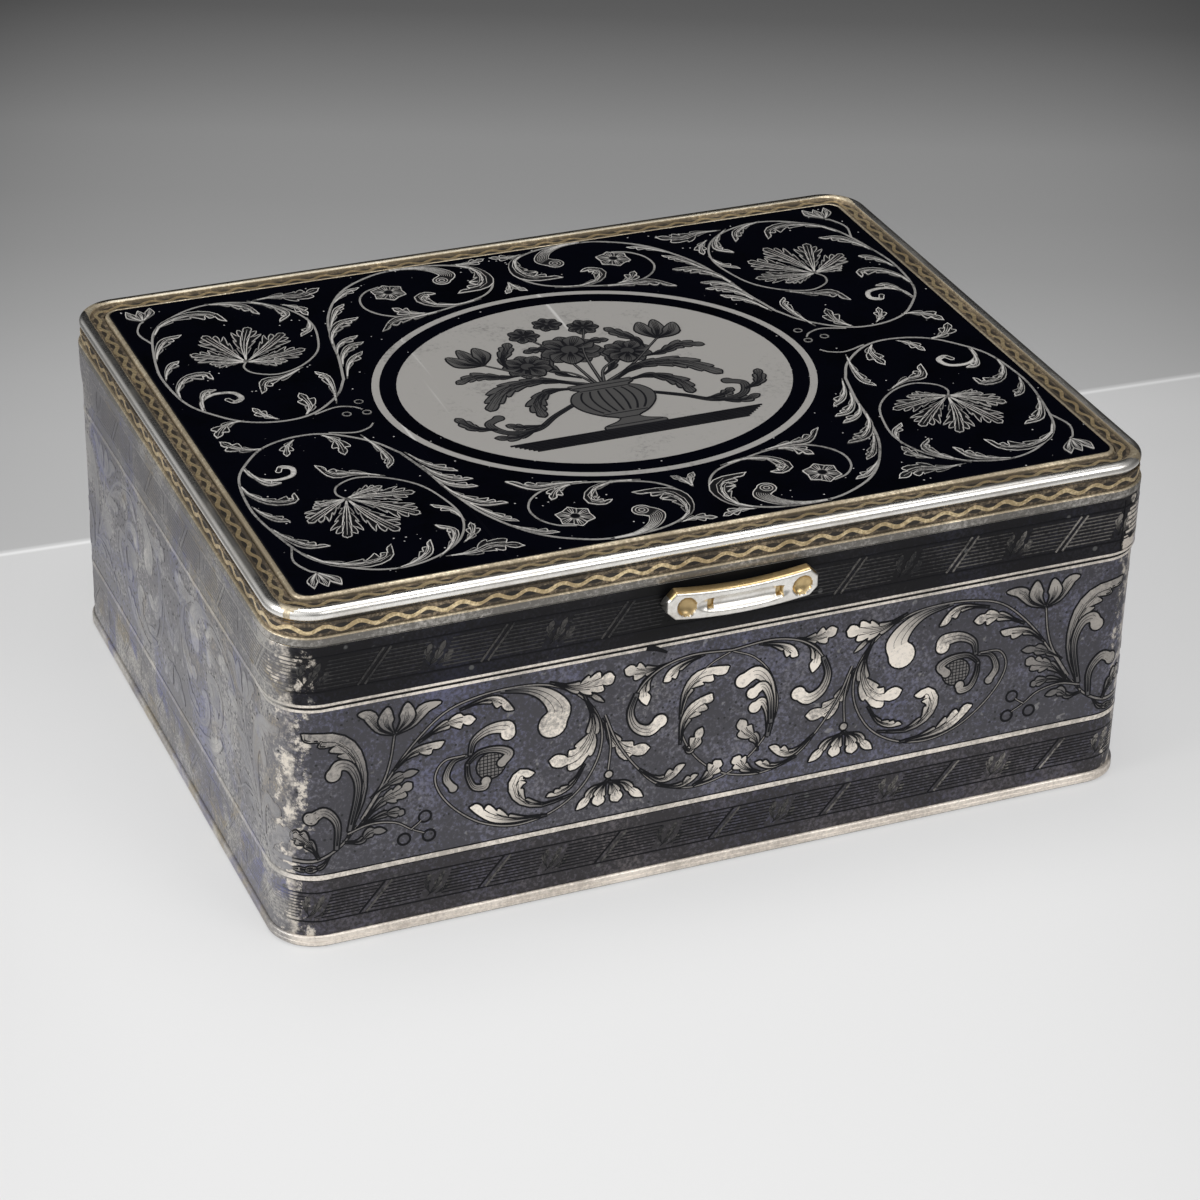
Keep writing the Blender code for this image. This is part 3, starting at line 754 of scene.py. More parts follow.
@dataclass
class BoxShell:
    """The fixed shell: wall, lip, foot and base."""

    plan: Plan  # outline of the wall
    mouth: float  # height of the wall on the front and sides
    foot: float  # height at which the wall starts
    head: float  # height of the back wall
    wall: float = 1.1 * MM  # thickness
    foot_head: float = 1.2 * MM  # height of the foot moulding's top
    mitre_foot: float = 6.2 * MM  # distance from the back face to the slanted joint at the mouth
    mitre_head: float = 2.6 * MM  # the same at the back wall's head
    slot_half: float = 39.7 * MM  # half the length of the opening for the hinge in the back wall
    slot_floor: float = 30.2 * MM  # height of that opening's foot
    edge: float = 0.07 * MM  # width of the softened edges
    lip: float = 0.55 * MM  # thickness of the lip in the mouth
    lead: float = 0.25 * MM  # radius of the lip's upper edge

    def mitre(self, z: float) -> float:
        """How far back the slanted joint lies at a height."""
        share = (z - self.mouth) / (self.head - self.mouth)
        return self.plan.half_depth - self.mitre_foot + (self.mitre_foot - self.mitre_head) * share

    def side_of(self, middle: Vector, normal: Vector) -> int:
        """Slot 0 outside, 1 inside and 2 on the edges."""
        if abs(normal.z) > 0.5:
            return 2
        reach_x = abs(middle.x) - self.plan.half_width + self.wall / 2
        reach_y = abs(middle.y) - self.plan.half_depth + self.wall / 2
        inside = max(reach_x, reach_y) < 0
        corner = (max(abs(middle.x) - self.plan.flat_x, 0), max(abs(middle.y) - self.plan.flat_y, 0))
        if corner[0] and corner[1]:
            inside = math.hypot(*corner) < self.plan.radius - self.wall / 2
        return 1 if inside else 0

    def build_wall(self) -> None:
        """Wall with its raised, mitred back and the slot for the hinge."""
        profile = oblong(-self.wall, 0.0, self.foot, self.head)
        wall = swept_ring("body_shell", self.plan, profile, WALL_NIELLO, GILT_INSIDE, SILVER)
        past = self.plan.half_width + PAST
        front = -self.plan.half_depth - PAST
        high = self.head + PAST
        joint = [(self.mitre(z), z) for z in (self.mouth, high)]
        mouth = bar_along_x("mouth_tool", [(front, self.mouth), *joint, (front, high)], past)
        back = self.plan.half_depth
        slot = bar_along_x(
            "slot_tool", oblong(back - PAST, back + PAST, self.slot_floor, high), self.slot_half)
        cut(wall, mouth)
        cut(wall, slot)
        soften(wall, self.edge)
        baked(wall, mouth, slot)
        paint_faces(wall, self.side_of)
        present(wall, Body.BOX, Slot.GREY_NIELLO, "body_wall")

    def build_base(self) -> None:
        """Base plate and the rounded foot moulding above it."""
        _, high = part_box("base_plate")
        out = high.x - self.plan.half_width
        edge, under = 0.05 * MM, 0.2 * MM
        profile = [(out - under, 0.0), (out, under), (out, high.z - edge), (out - edge, high.z)]
        plate = stacked_plate("base", self.plan, profile, FOOT_SILVER, GILT_INSIDE, PAINTED_SHADE_SILVER)
        # faces that slope down under the base take the darker silver as painted shade
        paint_faces(plate, lambda middle, normal: 1 if normal.z > 0.9 else 2 if -0.9 < normal.z < -0.1 else 0)
        present(plate, Body.BOX, Slot.SILVER, "base_plate")
        radius, inner = out * 0.85, 0.03 * MM
        crown = arc_points((out - radius, self.foot_head - radius), radius, 0, 90, 8)
        foot = [(inner, high.z), (out - edge, high.z), (out, high.z + edge)]
        rim = swept_ring("foot_moulding", self.plan, [*foot, *crown, (inner, self.foot_head)], FOOT_SILVER)
        present(rim, Body.BOX, Slot.SILVER, "foot_rim")

    def build_lip(self) -> None:
        """Gilt lip inside the mouth on the front and sides."""
        low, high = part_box("mouth_bezel")
        outer = high.x - self.plan.half_width
        inner, lead = outer - self.lip, self.lead
        round_edge = arc_points((outer - lead, high.z - lead), lead, 0, 90, 5)
        profile = [(inner, low.z), (outer, low.z), (outer, high.z - lead), *round_edge, (inner, high.z)]
        lip = swept_ring("mouth_lip", self.plan, profile, GILT_INSIDE)
        past = self.plan.half_width + PAST
        tool = bar_along_x("lip_tool", oblong(high.y, high.y + LIP_BEHIND, low.z - MM, high.z + MM), past)
        cut(lip, tool)
        baked(lip, tool)
        present(lip, Body.BOX, Slot.GILT, "mouth_bezel")

    def build(self) -> None:
        """All pieces of the shell."""
        self.build_wall()
        self.build_base()
        self.build_lip()


@dataclass
class LidShell:
    """The lid's band, moulded frame and plate."""

    plan: Plan  # outline of the body's wall, from which offsets are measured
    box: BoxShell  # the fixed shell, for the slanted joint
    band_wall: float = 0.8 * MM  # thickness of the band
    gap: float = 0.2 * MM  # room at the slanted joint
    bead: float = 0.66 * MM  # radius of the bold bead
    inset: float = 0.2 * MM  # how far the bead stands back from the frame's edge
    fillet: float = 0.42 * MM  # width of the rounded edge around the plate
    fall: float = 0.3 * MM  # how far that edge drops to the inner strip
    band_out: float = 0.33 * MM  # how far the band stands outside its packed face
    ledge: float = 0.8 * MM  # width of the ledge under the plate
    ledge_deep: float = 0.6 * MM  # thickness of that ledge
    foot_in: float = 1.5 * MM  # how far the frame's foot reaches inside the wall's outer face

    def band_face(self) -> float:
        """How far the band's outer face stands outside the body's wall."""
        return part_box("lid_skirt")[1].x - self.plan.half_width + self.band_out

    def build_band(self) -> None:
        """Band on the front and sides with slanted ends."""
        low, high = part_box("lid_skirt")
        outer = self.band_face()
        inner = outer - self.band_wall - self.band_out
        profile = oblong(inner, outer, low.z, high.z)
        band = swept_ring("lid_band", self.plan, profile, BAND_NIELLO, GILT_INSIDE, SILVER)
        past = self.plan.half_width + PAST
        behind = self.plan.half_depth + BAND_BEHIND
        joint = [(self.box.mitre(z) - self.gap, z) for z in (low.z - BAND_OVER, high.z + BAND_OVER)]
        section = [joint[0], (behind, joint[0][1]), (behind, joint[1][1]), joint[1]]
        tool = bar_along_x("band_tool", section, past)
        cut(band, tool)
        soften(band, 0.06 * MM)
        baked(band, tool)
        paint_faces(band, self.box.side_of)
        present(band, Body.LID, Slot.GREY_NIELLO, "lid_skirt")

    def build_frame(self) -> None:
        """Moulding with the bold bead between its two grooves."""
        low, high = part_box("lid_frame")
        side_low, side_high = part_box("outer_gilt_wire")
        top_low, top_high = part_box("inner_gilt_wire")
        plate_low, plate_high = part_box("lid_plate")
        half = self.plan.half_width
        gap = 0.05 * MM
        out = high.x - half
        groove_z, bead_foot = side_low.z - gap, side_high.z + gap
        side_in = side_high.x - half - STRIP_DEEP - gap
        bead_in = top_high.x - half + gap
        opening = plate_high.x - half + gap
        top_in = opening + self.fillet
        floor_z = top_low.z - gap
        plate_z, ledge_z = plate_high.z, plate_low.z - gap
        bead_out, bead_z = out - self.inset - self.bead, high.z - self.bead
        bead = arc_points((bead_out, bead_z), self.bead, -45, 135, 24)
        soft = 0.1 * MM
        low_edge = arc_points((out - soft, low.z + soft), soft, -60, 0, 3)
        shoulder = arc_points((out - 2 * soft, groove_z - 2 * soft), 2 * soft, 0, 80, 4)
        quarter = arc_points((0, 0), 1.0, 0, 80, 7)
        slope = self.fillet - soft
        crown = [(opening + soft + slope * x, plate_z - self.fall * (1 - z)) for x, z in quarter]
        plate_edge = arc_points((opening + soft, plate_z - soft), soft, 90, 160, 3)
        ledge_in, ledge_foot = opening - self.ledge, ledge_z - self.ledge_deep
        profile = [
            (-self.foot_in, low.z), (out - soft, low.z), *low_edge, *shoulder, (side_in, groove_z),
            (side_in, bead_foot), *bead, (bead_in, floor_z), (top_in, floor_z), *crown, *plate_edge,
            (opening, ledge_z), (ledge_in, ledge_z), (ledge_in, ledge_foot), (-self.foot_in, ledge_foot)]
        frame = swept_ring(
            "lid_moulding", self.plan, profile, BRIGHT_SILVER, GILT_INSIDE, PALE_GILT_AND_HIGHLIGHT, FILLET_SHADE_SILVER)

        def choose(middle: Vector, normal: Vector) -> int:
            """Gilt lining below, pale gilding with a painted highlight on top of the two fillets, darker
            silver as painted shade on the lower fillet's upright face, and bare silver on the bead.
            """
            within = abs(middle.x) < half - MM and abs(middle.y) < self.plan.half_depth - MM
            if normal.z < -0.5 and within:
                return 1
            # the lower fillet's upright face is painted darker as shade
            if middle.z < bead_foot and normal.z < 0.3:
                return 3
            on_fillet = middle.z < bead_foot or within
            return 2 if on_fillet else 0

        paint_faces(frame, choose)
        present(frame, Body.LID, Slot.SILVER, "lid_frame")

    def build_plate(self) -> None:
        """Niello plate of the lid, gilt below."""
        low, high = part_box("lid_plate")
        out = high.x - self.plan.half_width
        soft = 0.06 * MM
        profile = [(out, low.z), (out, high.z - soft), (out - soft, high.z)]
        plate = stacked_plate("lid_panel", self.plan, profile, LID_NIELLO, GILT_INSIDE)
        paint_faces(plate, lambda middle, normal: 1 if normal.z < -0.5 else 0)
        present(plate, Body.LID, Slot.BLACK_NIELLO, "lid_plate")

    def build(self) -> None:
        """All pieces of the lid's shell."""
        self.build_band()
        self.build_frame()
        self.build_plate()


class Tone(Enum):
    """What a drawn shape is made of, by its place among an ornament's material slots."""

    SILVER = 0
    LINE = 1


@dataclass
class Shape:
    """One closed outline on a panel."""

    points: Array  # corners in panel millimetres
    tone: Tone  # what it is made of
    height: float  # how far its top stands above the panel, in millimetres
    shine: Array  # brightness at each corner, from 0 dull to 1 bright
    strip: bool = False  # whether the first half of the points runs beside the second half, as in a stroke

    def moved(self, flip_x: bool = False, flip_y: bool = False, along: float = 0.0) -> "Shape":
        """A copy turned over about the panel's middle lines and then moved along it."""
        flip = np.array((-1.0 if flip_x else 1.0, -1.0 if flip_y else 1.0))
        points = self.points * flip + np.array((along, 0.0))
        shine = self.shine
        if flip_x != flip_y:
            points, shine = points[::-1], shine[::-1]
        return Shape(points, self.tone, self.height, shine, self.strip)

    def faces(self) -> list[list[int]]:
        """Flat faces that fill the outline, as numbers of its points."""
        count = len(self.points)
        if self.strip:
            return [[i, i + 1, count - 2 - i, count - 1 - i] for i in range(count // 2 - 1)]
        filled = tessellate_polygon([[Vector((x, y, 0)) for x, y in self.points]])
        return [
            list(face) if signed_area(self.points[list(face)]) > 0 else list(face)[::-1] for face in filled]


def smooth_path(points: Sequence[Point], steps: int = 8) -> Array:
    """A Catmull-Rom curve through points.

    Args:
        points: the places that it passes.
        steps: pieces between two of them.

    Returns:
        Points along the curve.
    """
    given = np.asarray(points, float)
    ends = np.vstack((2 * given[0] - given[1], given, 2 * given[-1] - given[-2]))
    share = np.linspace(0, 1, steps, endpoint=False)[:, None]
    runs = []
    for before, start, end, after in zip(ends, ends[1:], ends[2:], ends[3:]):
        bend = 2 * before - 5 * start + 4 * end - after
        twist = 3 * (start - end) + after - before
        runs.append(0.5 * (2 * start + (end - before) * share + bend * share**2 + twist * share**3))
    return np.vstack((*runs, given[-1:]))


def left_normals(path: Array) -> Array:
    """Unit vectors to the left of a path at each of its points."""
    way = np.gradient(path, axis=0)
    way /= np.maximum(np.linalg.norm(way, axis=1), 1e-9)[:, None]
    return np.column_stack((-way[:, 1], way[:, 0]))


def along_path(path: Array, share: Array) -> Array:
    """Points at shares of a path's steps."""
    at = np.clip(share, 0, 1) * (len(path) - 1)
    steps = np.arange(len(path))
    return np.column_stack([np.interp(at, steps, path[:, axis]) for axis in (0, 1)])


def signed_area(points: Array) -> float:
    """Area of an outline, positive when it runs anticlockwise."""
    x, y = points[:, 0], points[:, 1]
    return 0.5 * float(np.sum(x * np.roll(y, -1) - np.roll(x, -1) * y))


def stroke(path: Array, widths: Array) -> Array:
    """Outline of a stroke along a path, with its width at each point."""
    side = left_normals(path) * widths[:, None] / 2
    return np.vstack((path - side, (path + side)[::-1]))


@dataclass
class Drawing:
    """Shapes drawn one over another on a panel."""

    outline: float = 0.0  # width of the dark line around silver shapes, in millimetres
    vein: float = 0.12  # width of engraved lines, in millimetres
    dull: float = 0.35  # brightness at the foot of leaves and along stems
    hatches: int = 3  # number of engraved lines along each leaf
    reach: float = 0.6  # how far along the leaf they run
    levels: int = 6  # number of heights before they start again
    lift: float = 0.012  # room that one element takes, in millimetres
    rim: float = 0.0  # width of the bright line along the edge of silver shapes, in millimetres
    stalk: float = 0.8  # brightness of silver stems
    glow: float = 1.0  # brightness of the brightest fills
    notch: float = 0.5  # share of a leaf's width that is left between its lobes
    spread: float = 1.0  # scale of leaves' widths
    taper: float = 0.55  # how sharp leaves' tips are
    shapes: list[Shape] = field(default_factory=list)  # what is drawn so far
    order: int = 0  # number of elements so far

    def next_height(self) -> float:
        """Height of the next element, so that neighbours don't share one."""
        self.order += 1
        return FIRST_HEIGHT + self.lift * (self.order % self.levels)

    def fill(self, points: Array, shine: Array | float, height: float, strip: bool = False) -> None:
        """A silver shape, with its dark outline below it where the drawing has one."""
        shine = np.broadcast_to(np.asarray(shine, float), (len(points),)).copy()
        self.shapes.append(Shape(points, Tone.SILVER, height + self.lift / 3, shine * self.glow, strip))
        edge = np.vstack((points, points[:1]))
        if self.outline:
            self.line(edge, 2 * self.outline, 2 * self.outline, height)
        if self.rim:
            bright = np.append(shine, shine[0]) * 0.8 + 0.25
            self.line(edge, self.rim, self.rim, height + self.lift / 2, Tone.SILVER, np.clip(bright, 0, 1))

    def hatch(self, path: Array, height: float) -> None:
        """A fine line within a shape: bright where shapes have bright edges, and engraved elsewhere."""
        tone = Tone.SILVER if self.rim else Tone.LINE
        self.line(path, self.vein, self.vein * 0.3, height, tone, 0.9)

    def line(
            self, path: Array, start: float, end: float, height: float, tone: Tone = Tone.LINE,
            shine: Array | float = 0.6) -> None:
        """A stroke along a path that tapers from one width to another."""
        points = stroke(path, np.linspace(start, end, len(path)))
        glow = np.broadcast_to(np.asarray(shine, float), (len(path),))
        height += STROKE_STEP * (len(self.shapes) % STROKE_ROUND)
        self.shapes.append(Shape(points, tone, height, np.concatenate((glow, glow[::-1])), True))

    def stem(self, points: Sequence[Point], start: float, end: float, steps: int = 6) -> None:
        """A tapering stem through points: a silver line, or a dark one where the drawing has outlines."""
        path = smooth_path(points, steps)
        if self.outline:
            height = self.next_height()
            self.line(path, start + 0.12, end + 0.06, height)
            self.line(path, start * 0.5, end * 0.4, height + self.lift / 3, Tone.SILVER, 0.2)
        else:
            self.line(path, start, end, self.next_height(), Tone.SILVER, self.stalk)

    def leaf(
            self, spine: Sequence[Point], width: float, lobes: int = 4, left: float = 1.0, right: float = 1.0,
            shine: float = 1.0) -> None:
        """An acanthus leaf with lobed edges and engraved lines.

        Args:
            spine: points from its foot, along the stem, to its tip.
            width: of its wider side, at the widest.
            lobes: on each lobed side.
            left: share of the width on its left; a side of less than 0.6 has a smooth edge.
            right: the same on its right.
            shine: brightness at the tip.
        """
        path = smooth_path(spine, 8)
        normals = left_normals(path)
        height = self.next_height()
        top = height + self.lift * 2 / 3
        width = width * self.spread
        margins, places = [], []
        for share, sign in ((left, 1), (right, -1)):
            lobed = share >= 0.6 and lobes > 1
            at = np.linspace(0.03, 0.985, 7 * lobes + 4 if lobed else 12)
            tip = np.maximum(1.0 - at, 0) / (1.0 - LEAF_WIDEST)
            swell = np.where(at < LEAF_WIDEST, (at / LEAF_WIDEST) ** LEAF_SWELL, tip**self.taper)
            off = width * share * swell
            if lobed:
                place = np.clip((at - LOBES_FROM) / (1.0 - LOBES_FROM), 0, 1)
                wave = np.abs(np.sin(math.pi * lobes * place)) ** 0.6
                off = off * (self.notch + (1 - self.notch) * wave)
                push = 0.45 * wave * (place > 0) * off / max(len(path) * 0.2, 1)
                at = at + np.minimum(push, 0.65 * (1.0 - at))
                for notch in range(1, lobes):
                    start = LOBES_FROM + (1.0 - LOBES_FROM) * notch / lobes
                    deep = width * share * min((start / LEAF_WIDEST) ** LEAF_SWELL, 1.0) * self.notch
                    rise = np.array((start, start - 0.1, start - 0.24))
                    spread = np.array((1.0, 0.75, 0.45)) * deep
                    vein = along_path(path, rise) + sign * spread[:, None] * along_path(normals, rise)
                    self.hatch(smooth_path(vein, 2), top)
            margins.append(along_path(path, at) + sign * off[:, None] * along_path(normals, at))
            places.append(at)
        points = np.vstack((path[:1], margins[1], path[-1:], margins[0][::-1]))
        at = np.clip(np.concatenate(([0.0], places[1], [1.0], places[0][::-1])), 0, 1)
        self.fill(points, self.dull + (shine - self.dull) * np.clip((at - 0.18) * 1.8, 0, 1), height)
        for hatch in range(self.hatches):
            across = (hatch + 1) / (self.hatches + 1)
            offset = width * (left * across - right * (1 - across)) * 0.55
            rise = np.linspace(0.06, self.reach + 0.12 * (hatch % 2), 6)
            spread = offset * np.minimum(rise / LEAF_WIDEST, 1.0) ** LEAF_SWELL
            self.hatch(along_path(path, rise) + spread[:, None] * along_path(normals, rise), top)

    def leaves(self, *rows: tuple) -> None:
        """Leaves one after another, each by a row of its values."""
        for row in rows:
            self.leaf(*row)

    def volute(
            self, spine: Sequence[Point], start: float, end: float, ball: float, shine: float = 1.0) -> None:
        """A shoot that swells along its spine and ends in a ball.

        Args:
            spine: points from its foot to the ball's middle.
            start: width at its foot.
            end: width before the ball.
            ball: radius of its end.
            shine: brightness of the ball.
        """
        path = smooth_path(spine, 7)
        ahead = path[-1] - path[-2]
        ahead = ahead / np.linalg.norm(ahead)
        height = self.next_height()
        share = np.linspace(0, 1, len(path))
        neck = start + (end - start) * np.clip(share / 0.75, 0, 1) ** 1.3
        before = np.linalg.norm(path - path[-1], axis=1) / ball
        bulb = 2 * ball * np.sqrt(np.clip(1 - before**2, 0, 1))
        heart = path[-1]
        cap = np.sin(np.linspace(0, math.pi / 2, 6)[1:])
        path = np.vstack((path, path[-1] + ahead * cap[:, None] * ball))
        widths = np.concatenate((np.maximum(neck, bulb), 2 * ball * np.sqrt(1 - 0.998 * cap**2)))
        points = stroke(path, widths)
        glow = self.dull + (shine - self.dull) * np.clip(share * 1.4 - 0.2, 0, 1)
        glow = np.concatenate((glow, np.full(len(cap), shine)))
        self.fill(points, np.concatenate((glow, glow[::-1])), height, True)
        top = height + self.lift * 2 / 3
        for side in np.linspace(-0.34, 0.3, 6) if self.rim else (-0.2, 0.15):
            line = path + left_normals(path) * (widths * side)[:, None]
            self.hatch(line[1:-10], top)
        if self.rim and ball > 0.5:
            for share in (0.3, 0.65):
                self.ring(heart, ball * share, ball * share, self.rim, height=top)

    def disc(self, centre: Point, radius: float, shine: float = 1.0) -> None:
        """A round drop."""
        turn = np.linspace(0, 2 * math.pi, 16, endpoint=False)
        points = np.column_stack((centre[0] + radius * np.cos(turn), centre[1] + radius * np.sin(turn)))
        self.fill(points, shine, self.next_height())

    def ring(
            self, centre: Point, half_x: float, half_y: float, width: float, tone: Tone = Tone.SILVER,
            shine: float = 0.8, steps: int = 18, height: float | None = None) -> None:
        """A round or oval ring, drawn as a stroke."""
        turn = np.linspace(0, 2 * math.pi, steps + 1)
        path = np.column_stack((centre[0] + half_x * np.cos(turn), centre[1] + half_y * np.sin(turn)))
        self.line(path, width, width, self.next_height() if height is None else height, tone, shine)

    def rose(self, centre: Point, radius: float, petals: int, shine: float = 0.42) -> None:
        """A flower seen from the front: petals around a dull middle."""
        middle = np.asarray(centre)
        for turn in np.arange(petals) * 2 * math.pi / petals + math.pi / 2:
            way = np.array((math.cos(turn), math.sin(turn)))
            self.leaf(
                [middle + way * radius * share for share in (0.1, 0.55, 1.0)], radius * 0.36, 1, shine=shine)
        self.disc(centre, radius * 0.28, 0.15)

    def mirrored(self) -> list[Shape]:
        """The shapes together with their mirror image."""
        return self.shapes + [shape.moved(flip_x=True) for shape in self.shapes]


@dataclass
class Plates:
    """Thin closed plates under construction, one for each drawn shape."""

    sink: float = 0.01  # how far the plates reach into the surface, in millimetres
    # how far a plate's top rises along its outline, so that it can't overlap itself at one height
    rise: float = 0.0012
    verts: list = field(default_factory=list)  # rows of (along, up, height) in millimetres
    faces: list = field(default_factory=list)  # numbers of each face's corners
    tones: list = field(default_factory=list)  # material slot of each face
    shine: list = field(default_factory=list)  # brightness at each corner

    def add(self, shape: Shape, bends: Array) -> None:
        """Adds the plate of a shape.

        Args:
            shape: the outline.
            bends: lengths along the panel at which the plate is split so that it can follow a corner.
        """
        count = len(shape.points)
        place = np.arange(count)
        if shape.strip:
            place = np.minimum(place, count - 1 - place)
        tops = shape.height + self.rise * place / max(place.max(), 1)
        verts = [(x, y, -self.sink) for x, y in shape.points]
        verts += [(x, y, top) for (x, y), top in zip(shape.points, tops)]
        shine = np.concatenate((shape.shine, shape.shine))
        faces = [[i + count for i in face] for face in shape.faces()]
        faces += [face[::-1] for face in shape.faces()]
        for i in range(count):
            j = (i + 1) % count
            faces.append([i, j, j + count, i + count])
        across = shape.points[:, 0]
        crossed = bends[(bends > across.min()) & (bends < across.max())]
        if len(crossed):
            verts, faces, shine = self.split(verts, faces, shine, crossed)
        first = len(self.verts)
        self.verts += verts
        self.faces += [[first + i for i in face] for face in faces]
        self.tones += [shape.tone.value] * len(faces)
        self.shine += list(shine)

    def split(self, verts: list, faces: list, shine: Array, bends: Array) -> tuple[list, list, list]:
        """Cuts one plate's faces along lines across the panel."""
        bm = bmesh.new()
        layer = bm.verts.layers.float.new("shine")
        made = [bm.verts.new(place) for place in verts]
        for vertex, light in zip(made, shine):
            vertex[layer] = light
        for face in faces:
            bm.faces.new([made[i] for i in face])
        for bend in bends:
            everything = [*bm.verts, *bm.edges, *bm.faces]
            bmesh.ops.bisect_plane(bm, geom=everything, plane_co=(bend, 0, 0), plane_no=(1, 0, 0), dist=1e-6)
        bm.verts.index_update()
        places = [tuple(vertex.co) for vertex in bm.verts]
        lights = [vertex[layer] for vertex in bm.verts]
        cells = [[vertex.index for vertex in face.verts] for face in bm.faces]
        bm.free()
        return places, cells, lights

    def finish(self, name: str, put: Callable[[Array], Array], *finishes: MetalFinish) -> Piece:
        """Lays the plates on their surface.

        Args:
            name: of the object.
            put: maps rows of (along, up, height) in millimetres to places in metres.
            finishes: of the tones, in their order.

        Returns:
            The ornament as one mesh with a shine attribute.
        """
        mesh = bpy.data.meshes.new(name)
        mesh.from_pydata(put(np.array(self.verts)).tolist(), [], self.faces)
        mesh.polygons.foreach_set("material_index", self.tones)
        mesh.attributes.new("shine", "FLOAT", "POINT").data.foreach_set("value", self.shine)
        mesh.update()
        for finish in finishes:
            mesh.materials.append(finish.material())
        return linked(name, mesh)


def ornament(
        name: str, shapes: Sequence[Shape], put: Callable[[Array], Array], bends: Sequence[float],
        *finishes: MetalFinish) -> Piece:
    """Makes one piece of shapes on a surface.

    Args:
        name: of the piece.
        shapes: what to lay.
        put: maps rows of (along, up, height) in millimetres to places in metres.
        bends: lengths along the panel at which shapes are split.
        finishes: of the tones, in their order.

    Returns:
        The ornament.
    """
    plates = Plates()
    for shape in shapes:
        plates.add(shape, np.asarray(bends, float))
    return plates.finish(name, put, *finishes)


